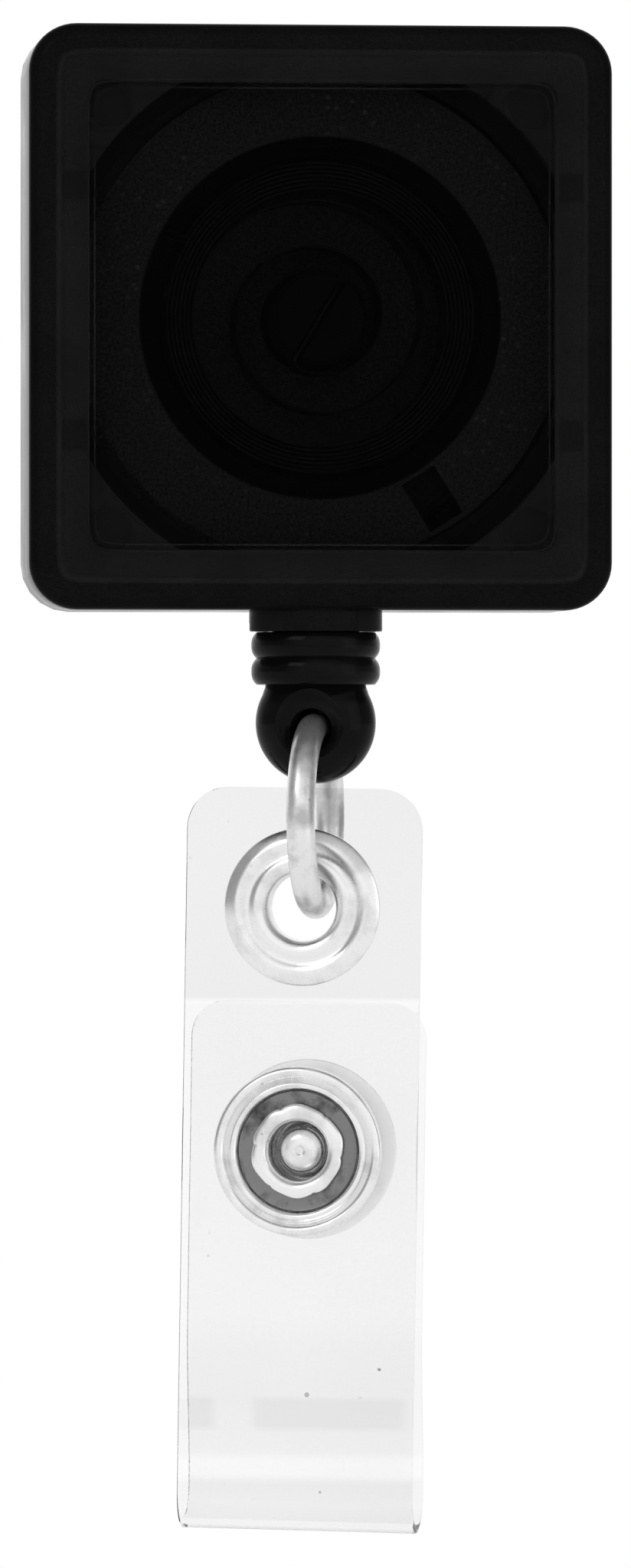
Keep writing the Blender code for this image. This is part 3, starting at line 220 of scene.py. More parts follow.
class Paint(Nodes):
    """A material, with short calls for the textures that its looks are made of."""

    def __init__(self, name):
        self.material = bpy.data.materials.new(name)
        self.material.use_nodes = True
        super().__init__(self.material.node_tree)
        self.shader = self.tree.nodes["Principled BSDF"]
        self.where = self.node("TexCoord").outputs["Object"]

    def set(self, **inputs):
        for key, value in inputs.items():
            self.feed(self.shader.inputs[key.replace("_", " ")], value)

    def show(self, other, share):
        """Shows another shader in place of the main one, by this share."""
        both = self.node("MixShader")
        self.feed(both.inputs[0], share)
        self.feed(both.inputs[1], self.shader.outputs[0])
        self.feed(both.inputs[2], other.outputs[0])
        self.feed(self.tree.nodes["Material Output"].inputs["Surface"], both.outputs[0])

    def stretch(self, scale):
        made = self.node("Mapping")
        self.feed(made.inputs["Vector"], self.where)
        made.inputs["Scale"].default_value = scale
        return made.outputs[0]

    def noise(self, scale, detail=3.0, roughness=0.55, at=None):
        made = self.node("TexNoise")
        self.feed(made.inputs["Vector"], at or self.where)
        made.inputs["Scale"].default_value = scale
        made.inputs["Detail"].default_value = detail
        made.inputs["Roughness"].default_value = roughness
        return made.outputs["Fac"]

    def specks(self, scale, size, at=None):
        """1 inside small dots, 0 elsewhere."""
        made = self.node("TexVoronoi")
        self.feed(made.inputs["Vector"], at or self.where)
        made.inputs["Scale"].default_value = scale
        return self.ramp(made.outputs["Distance"], (size * 0.6, 1.0), (size, 0.0))

    def ramp(self, value, *stops):
        """Stops are (position, grey)."""
        made = self.node("ValToRGB")
        self.feed(made.inputs["Fac"], value)
        points = made.color_ramp.elements
        while len(points) < len(stops):
            points.new(0.5)
        for point, (place, shade) in zip(points, stops):
            point.position = place
            point.color = (shade, shade, shade, 1.0)
        return made.outputs["Color"]

    def mix(self, share, one, other, blend="MIX"):
        made = self.node("Mix", data_type="RGBA", blend_type=blend)
        self.feed(made.inputs[0], share)
        for socket, value in zip(made.inputs[6:8], (one, other)):
            self.feed(socket, value if hasattr(value, "is_output") else (value, value, value, 1.0))
        return made.outputs[2]

    def bump(self, height, depth, strength=1.0):
        made = self.node("Bump")
        self.feed(made.inputs["Height"], height)
        made.inputs["Distance"].default_value = depth
        made.inputs["Strength"].default_value = strength
        self.feed(self.shader.inputs["Normal"], made.outputs["Normal"])

    def axis(self, index, origin=0.0):
        """The distance from a plane across one axis, in millimetres."""
        made = self.node("SeparateXYZ")
        self.feed(made.inputs[0], self.where)
        return self.math("MULTIPLY", self.math("SUBTRACT", made.outputs[index], origin), 1000.0)

    def inside(self, index, low, high, soft=0.05):
        """1 between two places on one axis, in millimetres, with soft edges."""
        place = self.axis(index)
        rise = self.map_range(place, low - soft, low + soft)
        fall = self.map_range(place, high + soft, high - soft)
        return self.math("MULTIPLY", rise, fall)

    def dot(self, x, z, radius):
        """1 inside a small dot at x and z, in millimetres, on what lies in front."""
        across = self.math("POWER", self.math("SUBTRACT", self.axis(0), x), 2.0)
        up = self.math("POWER", self.math("SUBTRACT", self.axis(2), z), 2.0)
        near = self.math("LESS_THAN", self.math("ADD", across, up), radius**2)
        return self.math("MULTIPLY", near, self.math("LESS_THAN", self.axis(1), -5.0))

    def ring(self, power=2.0):
        """The radius from the spool's axis, in millimetres. A high power makes it a rounded square."""
        powers = [self.math("POWER", self.math("ABSOLUTE", self.axis(i, origin)), power)
                  for i, origin in ((0, 0.0), (2, AXIS_UP))]
        return self.math("POWER", self.math("ADD", *powers), 1 / power)


def smoke_front():
    """Near-black translucent plastic: the panel lets the spool show, the rim and edge hardly do. Thin light
    lines on the bevels are painted highlights, and the panel's corners past the chamber wall carry a painted
    haze of scattered light.
    """
    paint = Paint("look_smoke_front")
    out = paint.math("DIVIDE", paint.ring(SQUARE_POWER), CASE_RAMP)
    # Tones by distance out from the axis; the light stops at the panel's border and at the rim's outer edge
    # are painted highlights on the bevels.
    shade = paint.ramp(out, (0.7860, 0.0009), (0.7900, 0.0100), (0.8020, 0.0076),
                       (0.8850, 0.0088), (0.8935, 0.0140), (0.8990, 0.0120), (0.9060, 0.0058),
                       (0.9600, 0.0052), (0.9910, 0.0042), (1.0000, 0.0070))
    window = paint.math("LESS_THAN", out, 0.7900)
    ring = paint.ring()
    # Behind the panel: a slightly lighter tone past the flange, and a painted haze of scattered light in the
    # corners past the chamber wall.
    for start, tone in ((FLANGE_R / MM + 0.05, 0.0030), ((CHAMBER_R + CHAMBER_WALL) / MM, 0.0110)):
        past = paint.math("MULTIPLY", paint.math("GREATER_THAN", ring, start), window)
        shade = paint.mix(past, shade, tone)
    # Painted highlights: two thin light lines along the panel's bevelled border.
    for place, half, tone in ((0.7725, 0.0026, 0.0200), (0.7940, 0.0028, 0.0150)):
        shade = paint.mix(paint.math("COMPARE", out, place, half), shade, tone)
    grain = paint.noise(9000.0, 2.0, 0.7)
    streak = paint.noise(240.0, 3.0, 0.6, paint.stretch((1.0, 0.2, 1.0)))
    inside = paint.math("GREATER_THAN", paint.axis(1), 0.03 - CHAMBER_FRONT / MM)
    shade = paint.mix(1.0, shade, paint.ramp(grain, (0.30, 0.70), (0.70, 1.30)), "MULTIPLY")
    shade = paint.mix(1.0, shade, paint.ramp(streak, (0.30, 0.85), (0.70, 1.15)), "MULTIPLY")
    rows = paint.math("ADD", *(paint.inside(2, low, high, 0.15) for low, high in HOOK_ROWS))
    side = paint.math("SUBTRACT", 1.0, paint.inside(0, -12.8, 12.8, 0.1))
    hooks = paint.math("MULTIPLY", paint.math("MULTIPLY", rows, side), paint.math("LESS_THAN", out, 0.885))
    shade = paint.mix(paint.math("MULTIPLY", hooks, 0.40), shade, 0.002)
    shade = paint.mix(inside, shade, 0.008)
    paint.set(Base_Color=shade, Roughness=paint.ramp(streak, (0.3, 0.07), (0.7, 0.14)))
    paint.set(Specular_IOR_Level=0.01, IOR=1.5)
    paint.bump(paint.noise(300.0, 2.0), 0.004 * MM)
    clear = paint.node("BsdfTransparent")
    clear.inputs["Color"].default_value = (0.80, 0.80, 0.80, 1.0)
    rim = paint.math("LESS_THAN", out, 0.9020)
    share = paint.math("ADD", paint.math("MULTIPLY", window, 0.46), paint.math("MULTIPLY", rim, 0.06))
    paint.show(clear, paint.math("MULTIPLY", share, paint.math("SUBTRACT", 1.0, inside)))
    return paint.material


def smoke_rear():
    """The rear half: black outside, and paler moulded surfaces inside that show through the panel."""
    paint = Paint("look_smoke_rear")
    within = paint.math("LESS_THAN", paint.ring(SQUARE_POWER), CAVITY_HALF / MM - 0.075)
    inside = paint.math("MULTIPLY", paint.math("LESS_THAN", paint.axis(1), 0.15 - CHAMBER_BACK / MM), within)
    hub = paint.math("LESS_THAN", paint.ring(), ARBOR_R / MM + 0.15)
    grain = paint.noise(1800.0, 3.0)
    skin = paint.ramp(grain, (0.3, 0.0045), (0.7, 0.0075))
    moulded = paint.ramp(grain, (0.3, 0.10), (0.7, 0.16))
    shade = paint.mix(inside, skin, moulded)
    shade = paint.mix(hub, shade, paint.ramp(grain, (0.3, 0.015), (0.7, 0.028)))
    paint.set(Base_Color=shade, Specular_IOR_Level=0.08)
    paint.set(Roughness=paint.ramp(paint.noise(220.0), (0.3, 0.12), (0.7, 0.26)))
    paint.bump(paint.noise(420.0, 2.0), 0.004 * MM)
    return paint.material


def spool_plastic():
    """Matt grey flange with fine pale specks; the drum and the floor under the coils are darker, a painted
    shade of the deep drum.
    """
    paint = Paint("look_spool")
    ring = paint.math("DIVIDE", paint.ring(), SPOOL_RAMP)
    # Tones by radius: the band from the coils out to the drum's outer wall is painted dark, as painted shade
    # of the deep drum.
    shade = paint.ramp(ring, (0.20, 0.230), (0.503, 0.220), (0.510, 0.009), (0.700, 0.007), (0.706, 0.145))
    grain = paint.noise(6500.0, 2.0, 0.7)
    shade = paint.mix(1.0, shade, paint.ramp(grain, (0.35, 0.55), (0.65, 1.45)), "MULTIPLY")
    specks = paint.specks(1500.0, 0.24)
    patch = paint.ramp(paint.noise(180.0, 2.0), (0.45, 0.0), (0.65, 0.7))
    far = paint.ramp(ring, (0.69, 0.0), (0.72, 1.0))
    share = paint.math("MULTIPLY", paint.math("MULTIPLY", specks, patch), far)
    shade = paint.mix(share, shade, 0.42)
    paint.set(Base_Color=shade, Roughness=0.50, Specular_IOR_Level=0.04)
    paint.bump(grain, 0.01 * MM)
    return paint.material


def black_gloss():
    """The moulded end fitting: glossy black with faint flow marks."""
    paint = Paint("look_black_gloss")
    flow = paint.noise(260.0, 4.0, 0.6, paint.stretch((1.0, 1.0, 2.4)))
    paint.set(Base_Color=paint.ramp(flow, (0.35, 0.0025), (0.75, 0.0060)), Specular_IOR_Level=0.06)
    paint.set(Roughness=paint.ramp(flow, (0.3, 0.08), (0.7, 0.22)))
    paint.bump(paint.noise(480.0, 3.0), 0.012 * MM)
    return paint.material


def plated(name, light, dark, low, high, bump, metallic=1.0):
    """Bright plating with duller stains, pits and fine handling marks."""
    paint = Paint(name)
    stain = paint.noise(420.0, 5.0, 0.62)
    fine = paint.noise(2600.0, 3.0, 0.6)
    shade = paint.ramp(stain, (0.34, dark), (0.52, light))
    pits = paint.specks(950.0, 0.11)
    patch = paint.ramp(paint.noise(240.0, 2.0), (0.52, 0.0), (0.66, 0.55))
    shade = paint.mix(paint.math("MULTIPLY", pits, patch), shade, 0.22)
    paint.set(Base_Color=shade, Metallic=metallic)
    paint.set(Roughness=paint.mix(0.5, paint.ramp(stain, (0.35, high), (0.6, low)),
                                  paint.ramp(fine, (0.3, low), (0.7, high))))
    paint.bump(paint.mix(0.35, stain, fine), bump)
    return paint.material


def front_lit(material):
    """A little light of its own on what faces the front, where two layers of vinyl cover it."""
    nodes = Nodes(material.node_tree)
    normal = nodes.node("SeparateXYZ")
    nodes.feed(normal.inputs[0], nodes.node("NewGeometry").outputs["Normal"])
    shader = nodes.tree.nodes["Principled BSDF"]
    shader.inputs["Emission Color"].default_value = (1.0, 1.0, 1.0, 1.0)
    facing = nodes.math("MULTIPLY", normal.outputs["Y"], -0.40, clamp=True)
    nodes.feed(shader.inputs["Emission Strength"], facing)


def spring_steel():
    """Dull blued steel, a little paler on the tail in the arbor."""
    paint = Paint("look_spring_steel")
    grain = paint.noise(900.0, 3.0, 0.6, paint.stretch((1.0, 0.15, 1.0)))
    tail = paint.math("LESS_THAN", paint.ring(), ARBOR_R / MM + 0.10)
    shade = paint.mix(tail, paint.ramp(grain, (0.3, 0.020), (0.7, 0.055)), 0.08)
    paint.set(Base_Color=shade, Metallic=0.6)
    paint.set(Roughness=paint.ramp(grain, (0.3, 0.30), (0.7, 0.50)))
    return paint.material


def clear_vinyl():
    """Clear vinyl: single at the top and double below, faintly wavy, with dust, painted highlight lines and
    painted reflection patches.
    """
    paint = Paint("look_vinyl")
    haze = paint.noise(70.0, 3.0, 0.5)
    grain = paint.noise(7000.0, 2.0, 0.6)
    foot, length = VINYL_RAMP
    height = paint.math("DIVIDE", paint.math("SUBTRACT", paint.axis(2), foot), length)
    # Tones by height: darker above the flap's top than below it. The light line at the flap's top edge and
    # the light band just above the fold are painted highlights; the darker bottom of the fold is painted
    # shade.
    shade = paint.ramp(height, (0.030, 0.890), (0.055, 0.930), (0.090, 0.920), (0.098, 0.975), (0.118, 0.980),
                       (0.128, 0.940), (0.195, 0.928), (0.257, 0.935), (0.300, 0.952), (0.600, 0.950),
                       (0.684, 0.948), (0.6895, 0.980), (0.694, 0.860), (0.955, 0.868))
    shade = paint.mix(1.0, shade, paint.ramp(haze, (0.30, 0.985), (0.70, 1.010)), "MULTIPLY")
    shade = paint.mix(1.0, shade, paint.ramp(grain, (0.3, 0.982), (0.7, 1.005)), "MULTIPLY")
    # Grey patches across the double layer: a painted reflection.
    patch = paint.math("ADD", *(paint.inside(0, *limits) for limits in PAINTED_REFLECTION_PATCHES))
    patch = paint.math("MULTIPLY", patch, paint.inside(2, -53.1, -51.4, 0.12))
    shade = paint.mix(paint.math("MULTIPLY", patch, 0.45), shade, 0.84)
    drift = paint.ramp(paint.noise(140.0), (0.58, 0.0), (0.62, 0.7))
    dust = paint.math("MULTIPLY", paint.specks(420.0, 0.060), drift)
    for dot in DUST_DOTS:
        dust = paint.math("MAXIMUM", dust, paint.dot(*dot))
    shade = paint.mix(dust, shade, 0.30)
    paint.set(Base_Color=shade, Transmission_Weight=1.0, IOR=1.22)
    paint.set(Roughness=paint.ramp(haze, (0.3, 0.02), (0.7, 0.06)))
    paint.bump(paint.mix(0.15, paint.noise(160.0, 2.0), grain), 0.012 * MM)
    return paint.material


def braided_cord():
    """Fine black braid: two crossing sets of strands round the cord."""
    paint = Paint("look_braid")
    sets = []
    for lean in (1.0, -1.0):
        wave = paint.node("TexWave", bands_direction="DIAGONAL")
        paint.feed(wave.inputs["Vector"], paint.stretch((lean, 1.0, 1.0)))
        wave.inputs["Scale"].default_value = 900.0
        wave.inputs["Distortion"].default_value = 0.6
        sets.append(wave.outputs["Fac"])
    weave = paint.math("MAXIMUM", *sets)
    paint.set(Base_Color=paint.ramp(weave, (0.3, 0.004), (0.9, 0.030)), Roughness=0.75, Sheen_Weight=0.2)
    paint.bump(weave, 0.05 * MM)
    return paint.material


def floor_white():
    """White to the camera, also through the vinyl; a plain pale floor to what it lights."""
    paint = Paint("look_floor")
    paint.set(Base_Color=paint.ramp(paint.noise(3.0), (0.0, 0.90), (1.0, 0.93)), Roughness=0.8)
    paint.set(Emission_Color=(1.0, 1.0, 1.0, 1.0), Emission_Strength=0.35)
    path = paint.node("LightPath")
    seen = paint.math("MAXIMUM", path.outputs["Is Camera Ray"], path.outputs["Is Transmission Ray"])
    paint.show(paint.node("Emission"), seen)
    return paint.material


# Shapes


def arc(centre, radius, start, end, steps):
    """Points on an arc, from the angle start to the angle end, both in degrees."""
    points = []
    for step in range(steps + 1):
        angle = math.radians(start + (end - start) * step / steps)
        points.append((centre[0] + radius * math.cos(angle), centre[1] + radius * math.sin(angle)))
    return points


def near(radius, height, *offsets):
    """Points of a profile as offsets in millimetres: out from a radius, and up from a height."""
    return [(radius + out * MM, height + up * MM) for out, up in offsets]


def rounded_square(half, radius, steps=12):
    points = []
    for turn, (side_x, side_y) in enumerate(((1, 1), (-1, 1), (-1, -1), (1, -1))):
        corner = (side_x * (half - radius), side_y * (half - radius))
        points += arc(corner, radius, 90 * turn, 90 * turn + 90, steps)
    return points


def skin(mesh, rings):
    """Joins each ring of points to the next and closes both ends."""
    for lower, upper in zip(rings, rings[1:]):
        for i in range(len(lower)):
            j = (i + 1) % len(lower)
            mesh.faces.new((lower[i], lower[j], upper[j], upper[i]))
    mesh.faces.new(rings[0])
    mesh.faces.new(rings[-1])
    return mesh


def stack(sections):
    """A closed solid through outlines of the same number of points, each with its height."""
    mesh = bmesh.new()
    rings = [[mesh.verts.new((x, y, height)) for x, y in outline] for outline, height in sections]
    return skin(mesh, rings)


def block(low, high):
    mesh = bmesh.new()
    bmesh.ops.create_cube(mesh, size=1.0)
    low, high = Vector(low), Vector(high)
    place = Matrix.Translation((low + high) / 2) @ Matrix.Diagonal((*(high - low), 1.0))
    bmesh.ops.transform(mesh, matrix=place, verts=mesh.verts)
    return mesh


def turned(profile, steps=96):
    """A profile of (radius, height) turned about Z."""
    mesh = bmesh.new()
    points = [mesh.verts.new((radius, 0, height)) for radius, height in profile]
    edges = [mesh.edges.new(pair) for pair in zip(points, points[1:])]
    if min(radius for radius, height in profile) > 0:
        edges.append(mesh.edges.new((points[-1], points[0])))
    bmesh.ops.spin(mesh, geom=edges, axis=(0, 0, 1), cent=(0, 0, 0), steps=steps, angle=2 * math.pi,
                   use_merge=False, use_duplicate=False)
    bmesh.ops.remove_doubles(mesh, verts=mesh.verts, dist=1e-7)
    return mesh


def upright(mesh):
    """Turns a shape made about Z to stand about the case's up axis."""
    bmesh.ops.rotate(mesh, matrix=Matrix.Rotation(math.radians(-90), 3, "X"), verts=mesh.verts)
    return mesh


def moved(mesh, place, turn=0.0):
    matrix = Matrix.Translation(Vector(place)) @ Matrix.Rotation(turn, 4, "Z")
    bmesh.ops.transform(mesh, matrix=matrix, verts=mesh.verts)
    return mesh


def softened(profile, closed, times=2, cut=0.25):
    """The profile with its corners cut again and again, so that it turns in small steps."""
    points = [Vector(point) for point in profile]
    for _ in range(times):
        pairs = list(zip(points, points[1:] + points[:1])) if closed else list(zip(points, points[1:]))
        fresh = [] if closed else [points[0]]
        for one, other in pairs:
            fresh += [one.lerp(other, cut), one.lerp(other, 1 - cut)]
        if not closed:
            fresh.append(points[-1])
        points = fresh
    return [tuple(point) for point in points]


def to_object(name, mesh, place, finish=None, sharp=32):
    bmesh.ops.remove_doubles(mesh, verts=mesh.verts, dist=1e-7)
    bmesh.ops.recalc_face_normals(mesh, faces=mesh.faces)
    if mesh.calc_volume(signed=True) < 0:
        bmesh.ops.reverse_faces(mesh, faces=mesh.faces)
    bmesh.ops.transform(mesh, matrix=place, verts=mesh.verts)
    data = bpy.data.meshes.new(name)
    mesh.to_mesh(data)
    mesh.free()
    made = bpy.data.objects.new(name, data)
    bpy.context.scene.collection.objects.link(made)
    if finish:
        data.materials.append(finish)
    shade(made, sharp)
    return made


def shade(obj, sharp):
    obj.data.shade_smooth()
    obj.data.set_sharp_from_angle(angle=math.radians(sharp))


def combine(obj, steps, place, sharp=32):
    """Cuts and joins helper shapes, given as (operation, mesh), and removes the helpers."""
    helpers = []
    for operation, mesh in steps:
        helper = to_object("helper", mesh, place)
        change = obj.modifiers.new("shape", "BOOLEAN")
        change.operation = operation
        change.solver = "EXACT"
        change.object = helper
        helpers.append(helper)
    graph = bpy.context.evaluated_depsgraph_get()
    data = bpy.data.meshes.new_from_object(obj.evaluated_get(graph))
    obj.modifiers.clear()
    obj.data = data
    for helper in helpers:
        bpy.data.objects.remove(helper)
    shade(obj, sharp)
    return obj


def piece(obj, body, slot, *nodes):
    if body:
        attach(obj, body)
    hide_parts(*nodes)
    return obj


# Casing


def case_outline(inset):
    return rounded_square(CASE_HALF - inset, max(CASE_CORNER_R - inset, PANEL_CORNER_R))


def edge_sections(face, way, steps=8):
    sections = []
    for step in range(steps + 1):
        angle = math.radians(90 * step / steps)
        inset = CASE_EDGE_R * (1 - math.cos(angle))
        sections.append((case_outline(inset), face - way * CASE_EDGE_R * (1 - math.sin(angle))))
    return sections


def front_body():
    """Rounded edge, ledge, bevelled rim and sunk panel, with the small fillets that catch the light."""
    panel = LEDGE_WIDTH + RIM_WIDTH
    soft = PANEL_EDGE_SOFT
    sections = [(case_outline(0), MID + SEAM_GAP / 2)] + edge_sections(LEDGE, 1)
    steps = [
        (LEDGE_WIDTH - soft, LEDGE),
        (LEDGE_WIDTH - 0.3 * soft, LEDGE + 0.3 * soft),
        (LEDGE_WIDTH + 0.3 * soft, LEDGE + soft),
        (LEDGE_WIDTH + RIM_BEVEL - soft, CASE_FRONT - soft),
        (LEDGE_WIDTH + RIM_BEVEL - 0.3 * soft, CASE_FRONT - 0.3 * soft),
        (LEDGE_WIDTH + RIM_BEVEL + soft, CASE_FRONT),
        (panel - 1.2 * soft, CASE_FRONT),
        (panel - 0.35 * soft, CASE_FRONT - 0.35 * soft),
        (panel, CASE_FRONT - 1.2 * soft),
        (panel, LABEL_FLOOR + soft),
        (panel + 0.3 * soft, LABEL_FLOOR + 0.3 * soft),
        (panel + soft, LABEL_FLOOR),
    ]
    return stack(sections + [(case_outline(inset), height) for inset, height in steps])


def cavity(low, high):
    outline = rounded_square(CAVITY_HALF, 1.4 * MM, 8)
    return stack([(outline, low), (outline, high)])


def tube(inner, outer, low, high, steps=96):
    return turned([(inner, low), (outer, low), (outer, high), (inner, high)], steps)


def disc(radius, low, high, steps=48):
    return turned([(0, low), (radius, low), (radius, high), (0, high)], steps)


def neck_front():
    """The front half of the outlet neck."""
    chamfer = 0.10 * MM
    top = -CASE_HALF + 0.6 * MM
    profile = [(NECK_R, top), (NECK_R, NECK_END + chamfer),
               (NECK_R - 0.3 * chamfer, NECK_END + 0.3 * chamfer), (NECK_R - chamfer, NECK_END)]
    sections = [(arc((0, 0), radius, 180, 360, 40), height) for radius, height in profile]
    return moved(upright(stack(sections)), (0, 0, MID + SEAM_GAP / 2))


def neck_bore():
    flare = NECK_BORE_R + 0.6 * MM
    profile = [(0, NECK_END - MM), (NECK_BORE_R, NECK_END - MM), (NECK_BORE_R, -CHAMBER_R - CHAMBER_WALL),
               (flare, -CHAMBER_R + 0.4 * MM), (0, -CHAMBER_R + 0.4 * MM)]
    return moved(upright(turned(profile, 64)), (0, 0, MID))


def add_front(finish):
    shell = to_object("casing_front", front_body(), CASE, finish)
    top = CHAMBER_FRONT + 0.02 * MM
    wall = tube(CHAMBER_R, CHAMBER_R + CHAMBER_WALL, MID + SEAM_GAP / 2, top)
    steps = [("DIFFERENCE", cavity(MID - MM, CHAMBER_FRONT)), ("UNION", wall)]
    for x in (-PIN_AT, PIN_AT):
        for y in (-PIN_AT, PIN_AT):
            steps.append(("UNION", moved(disc(PIN_R, MID - 2 * MM, top), (x, y, 0))))
    steps += [("UNION", neck_front()), ("DIFFERENCE", neck_bore())]
    combine(shell, steps, CASE)
    piece(shell, "casing", "smoke_plastic", "front_shell")


# Spool and spring


def polar(radius, angle):
    return Vector((radius * math.cos(angle), radius * math.sin(angle)))


def add_spool(finish):
    back = SPOOL_BACK + FLANGE_T
    front = SPOOL_FRONT - FLANGE_T
    soft = 0.2 * MM
    profile = [
        (ARBOR_R + RUN_GAP, SPOOL_BACK), (FLANGE_R - soft, SPOOL_BACK), (FLANGE_R, SPOOL_BACK + soft),
        (FLANGE_R, back), (DRUM_OUT_R, back), (DRUM_OUT_R, front), (FLANGE_R, front),
        (FLANGE_R, SPOOL_FRONT - soft), (FLANGE_R - 0.3 * soft, SPOOL_FRONT - 0.3 * soft),
        (FLANGE_R - soft, SPOOL_FRONT), (DRUM_IN_R + 0.5 * soft, SPOOL_FRONT),
        (DRUM_IN_R, SPOOL_FRONT - 0.5 * soft), (DRUM_IN_R, back), (ARBOR_R + RUN_GAP, back),
    ]
    spool = to_object("spool_moulding", turned(profile, 128), CASE, finish)
    across, along = ANCHOR_SLOT
    slot = block((DRUM_OUT_R + 0.2 * MM, -across / 2, front - MM),
                 (DRUM_OUT_R + 0.2 * MM + along, across / 2, SPOOL_FRONT + MM))
    notch = block((-1.25 * MM, DRUM_IN_R - MM, front), (1.25 * MM, DRUM_IN_R + 0.5 * MM, SPOOL_FRONT + MM))
    slit = block((DRUM_IN_R - MM, -0.4 * MM, back + 0.05 * MM),
                 (DRUM_IN_R + 0.85 * MM, 0.4 * MM, SPOOL_FRONT + MM))
    steps = [("DIFFERENCE", moved(slot, (0, 0, 0), ANCHOR_ANGLE)), ("DIFFERENCE", notch),
             ("DIFFERENCE", moved(slit, (0, 0, 0), HOOK_ANGLE))]
    combine(spool, steps, CASE)
    piece(spool, "spool", "spool_plastic", "spool")


def spring_line():
    """The ribbon's middle line: tail, open turns that widen, close coils, and the hooked end."""
    outer = DRUM_IN_R - RUN_GAP - SPRING_T / 2
    inner = outer - SPRING_PITCH * SPRING_TURNS
    leave = ARBOR_R + RUN_GAP + SPRING_T / 2
    lead = 2 * math.pi * SPRING_OPEN_TURNS
    coil = 2 * math.pi * SPRING_TURNS
    first = HOOK_ANGLE - lead - coil - math.radians(1)
    points = [polar(-0.75 * ARBOR_R, first), polar(ARBOR_R, first)]
    for step in range(1, 101):
        share = step / 100
        points.append(polar(leave + (inner - leave) * share**1.25, first + lead * share))
    turns = 72 * SPRING_TURNS
    for step in range(1, turns + 1):
        share = step / turns
        points.append(polar(inner + (outer - inner) * share, first + lead + coil * share))
    points.append(polar(DRUM_IN_R + 0.7 * MM, HOOK_ANGLE))
    return points


def add_spring(finish):
    path = spring_line()
    mesh = bmesh.new()
    rows = []
    for i, point in enumerate(path):
        along = path[min(i + 1, len(path) - 1)] - path[max(i - 1, 0)]
        side = Vector((-along.y, along.x)).normalized() * SPRING_T / 2
        corners = ((1, SPRING_BACK), (-1, SPRING_BACK), (-1, SPRING_FRONT), (1, SPRING_FRONT))
        rows.append([mesh.verts.new((*(point + way * side), height)) for way, height in corners])
    ribbon = to_object("spring_ribbon", skin(mesh, rows), CASE, finish)
    piece(ribbon, "spool", "spring_steel", "mainspring")


# Cord, end fitting and link


def swept(points, radius, sides=12):
    """A closed round tube along points."""
    mesh = bmesh.new()
    rings = []
    normal = Vector((0, 0, 1))
    for i, point in enumerate(points):
        along = (points[min(i + 1, len(points) - 1)] - points[max(i - 1, 0)]).normalized()
        side = along.cross(normal).normalized()
        up = side.cross(along).normalized()
        rings.append([mesh.verts.new(point + radius * (side * math.cos(a) + up * math.sin(a)))
                      for a in (2 * math.pi * k / sides for k in range(sides))])
    return skin(mesh, rings)


def add_cord(finish):
    """From the winding's tangent round into the neck, and down to the knot in the fitting."""
    reach = WINDING_R + CORD_R + RUN_GAP
    corner = Vector((0, -CHAMBER_R - 0.9 * MM))
    angle = -math.pi / 2 + math.acos(reach / corner.length)
    leaves = polar(reach, angle)
    way = (corner - leaves).normalized()
    bend_r = 1.60 * MM
    turn = math.acos(-way.y)
    back = bend_r * math.tan(turn / 2)
    centre = Vector((bend_r, corner.y - back))
    flat = [leaves.lerp(corner - way * back, step / 8) for step in range(8)]
    for step in range(17):
        bend = turn * (1 - step / 16)
        flat.append(Vector((centre.x - bend_r * math.cos(bend), centre.y + bend_r * math.sin(bend))))
    end = RIBS_TOP - KNOT_SHELF - RUN_GAP + 0.1 * MM
    top = flat[-1].y
    flat += [Vector((0, top + (end - top) * step / 24)) for step in range(1, 25)]
    line = [Vector((point.x, point.y, MID)) for point in flat]
    cord = to_object("cord", swept(line, CORD_R), CASE, finish, 60)
    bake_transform(cord)
    piece(cord, None, "braided_cord", "cord_run", "cord_lead")


def rib(top, height):
    """The outline of one rounded rib, flatter in its middle."""
    waist = FITTING_R - RIB_GROOVE
    points = []
    for step in range(13):
        share = step / 12
        bulge = 1 - abs(2 * share - 1) ** 2.6
        points.append((waist + RIB_GROOVE * bulge, top - height * share))
    return points


def fitting_profile():
    soft = 0.12 * MM
    height = (RIBS_TOP - RIBS_END) / 2
    profile = [(0, SPIGOT_TOP), (SPIGOT_R - soft, SPIGOT_TOP), (SPIGOT_R, SPIGOT_TOP - soft),
               (SPIGOT_R, RIBS_TOP)]
    profile += rib(RIBS_TOP, height)[:-1] + rib(RIBS_TOP - height, height)
    profile += [(JUNCTION_R, RIBS_END - 0.05 * MM)]
    start = math.degrees(math.asin((RIBS_END - BALL_AT) / BALL_R)) - 12
    profile += arc((0, BALL_AT), BALL_R, start, -90, 30)
    profile[-1] = (0, BALL_AT - BALL_R)
    return profile


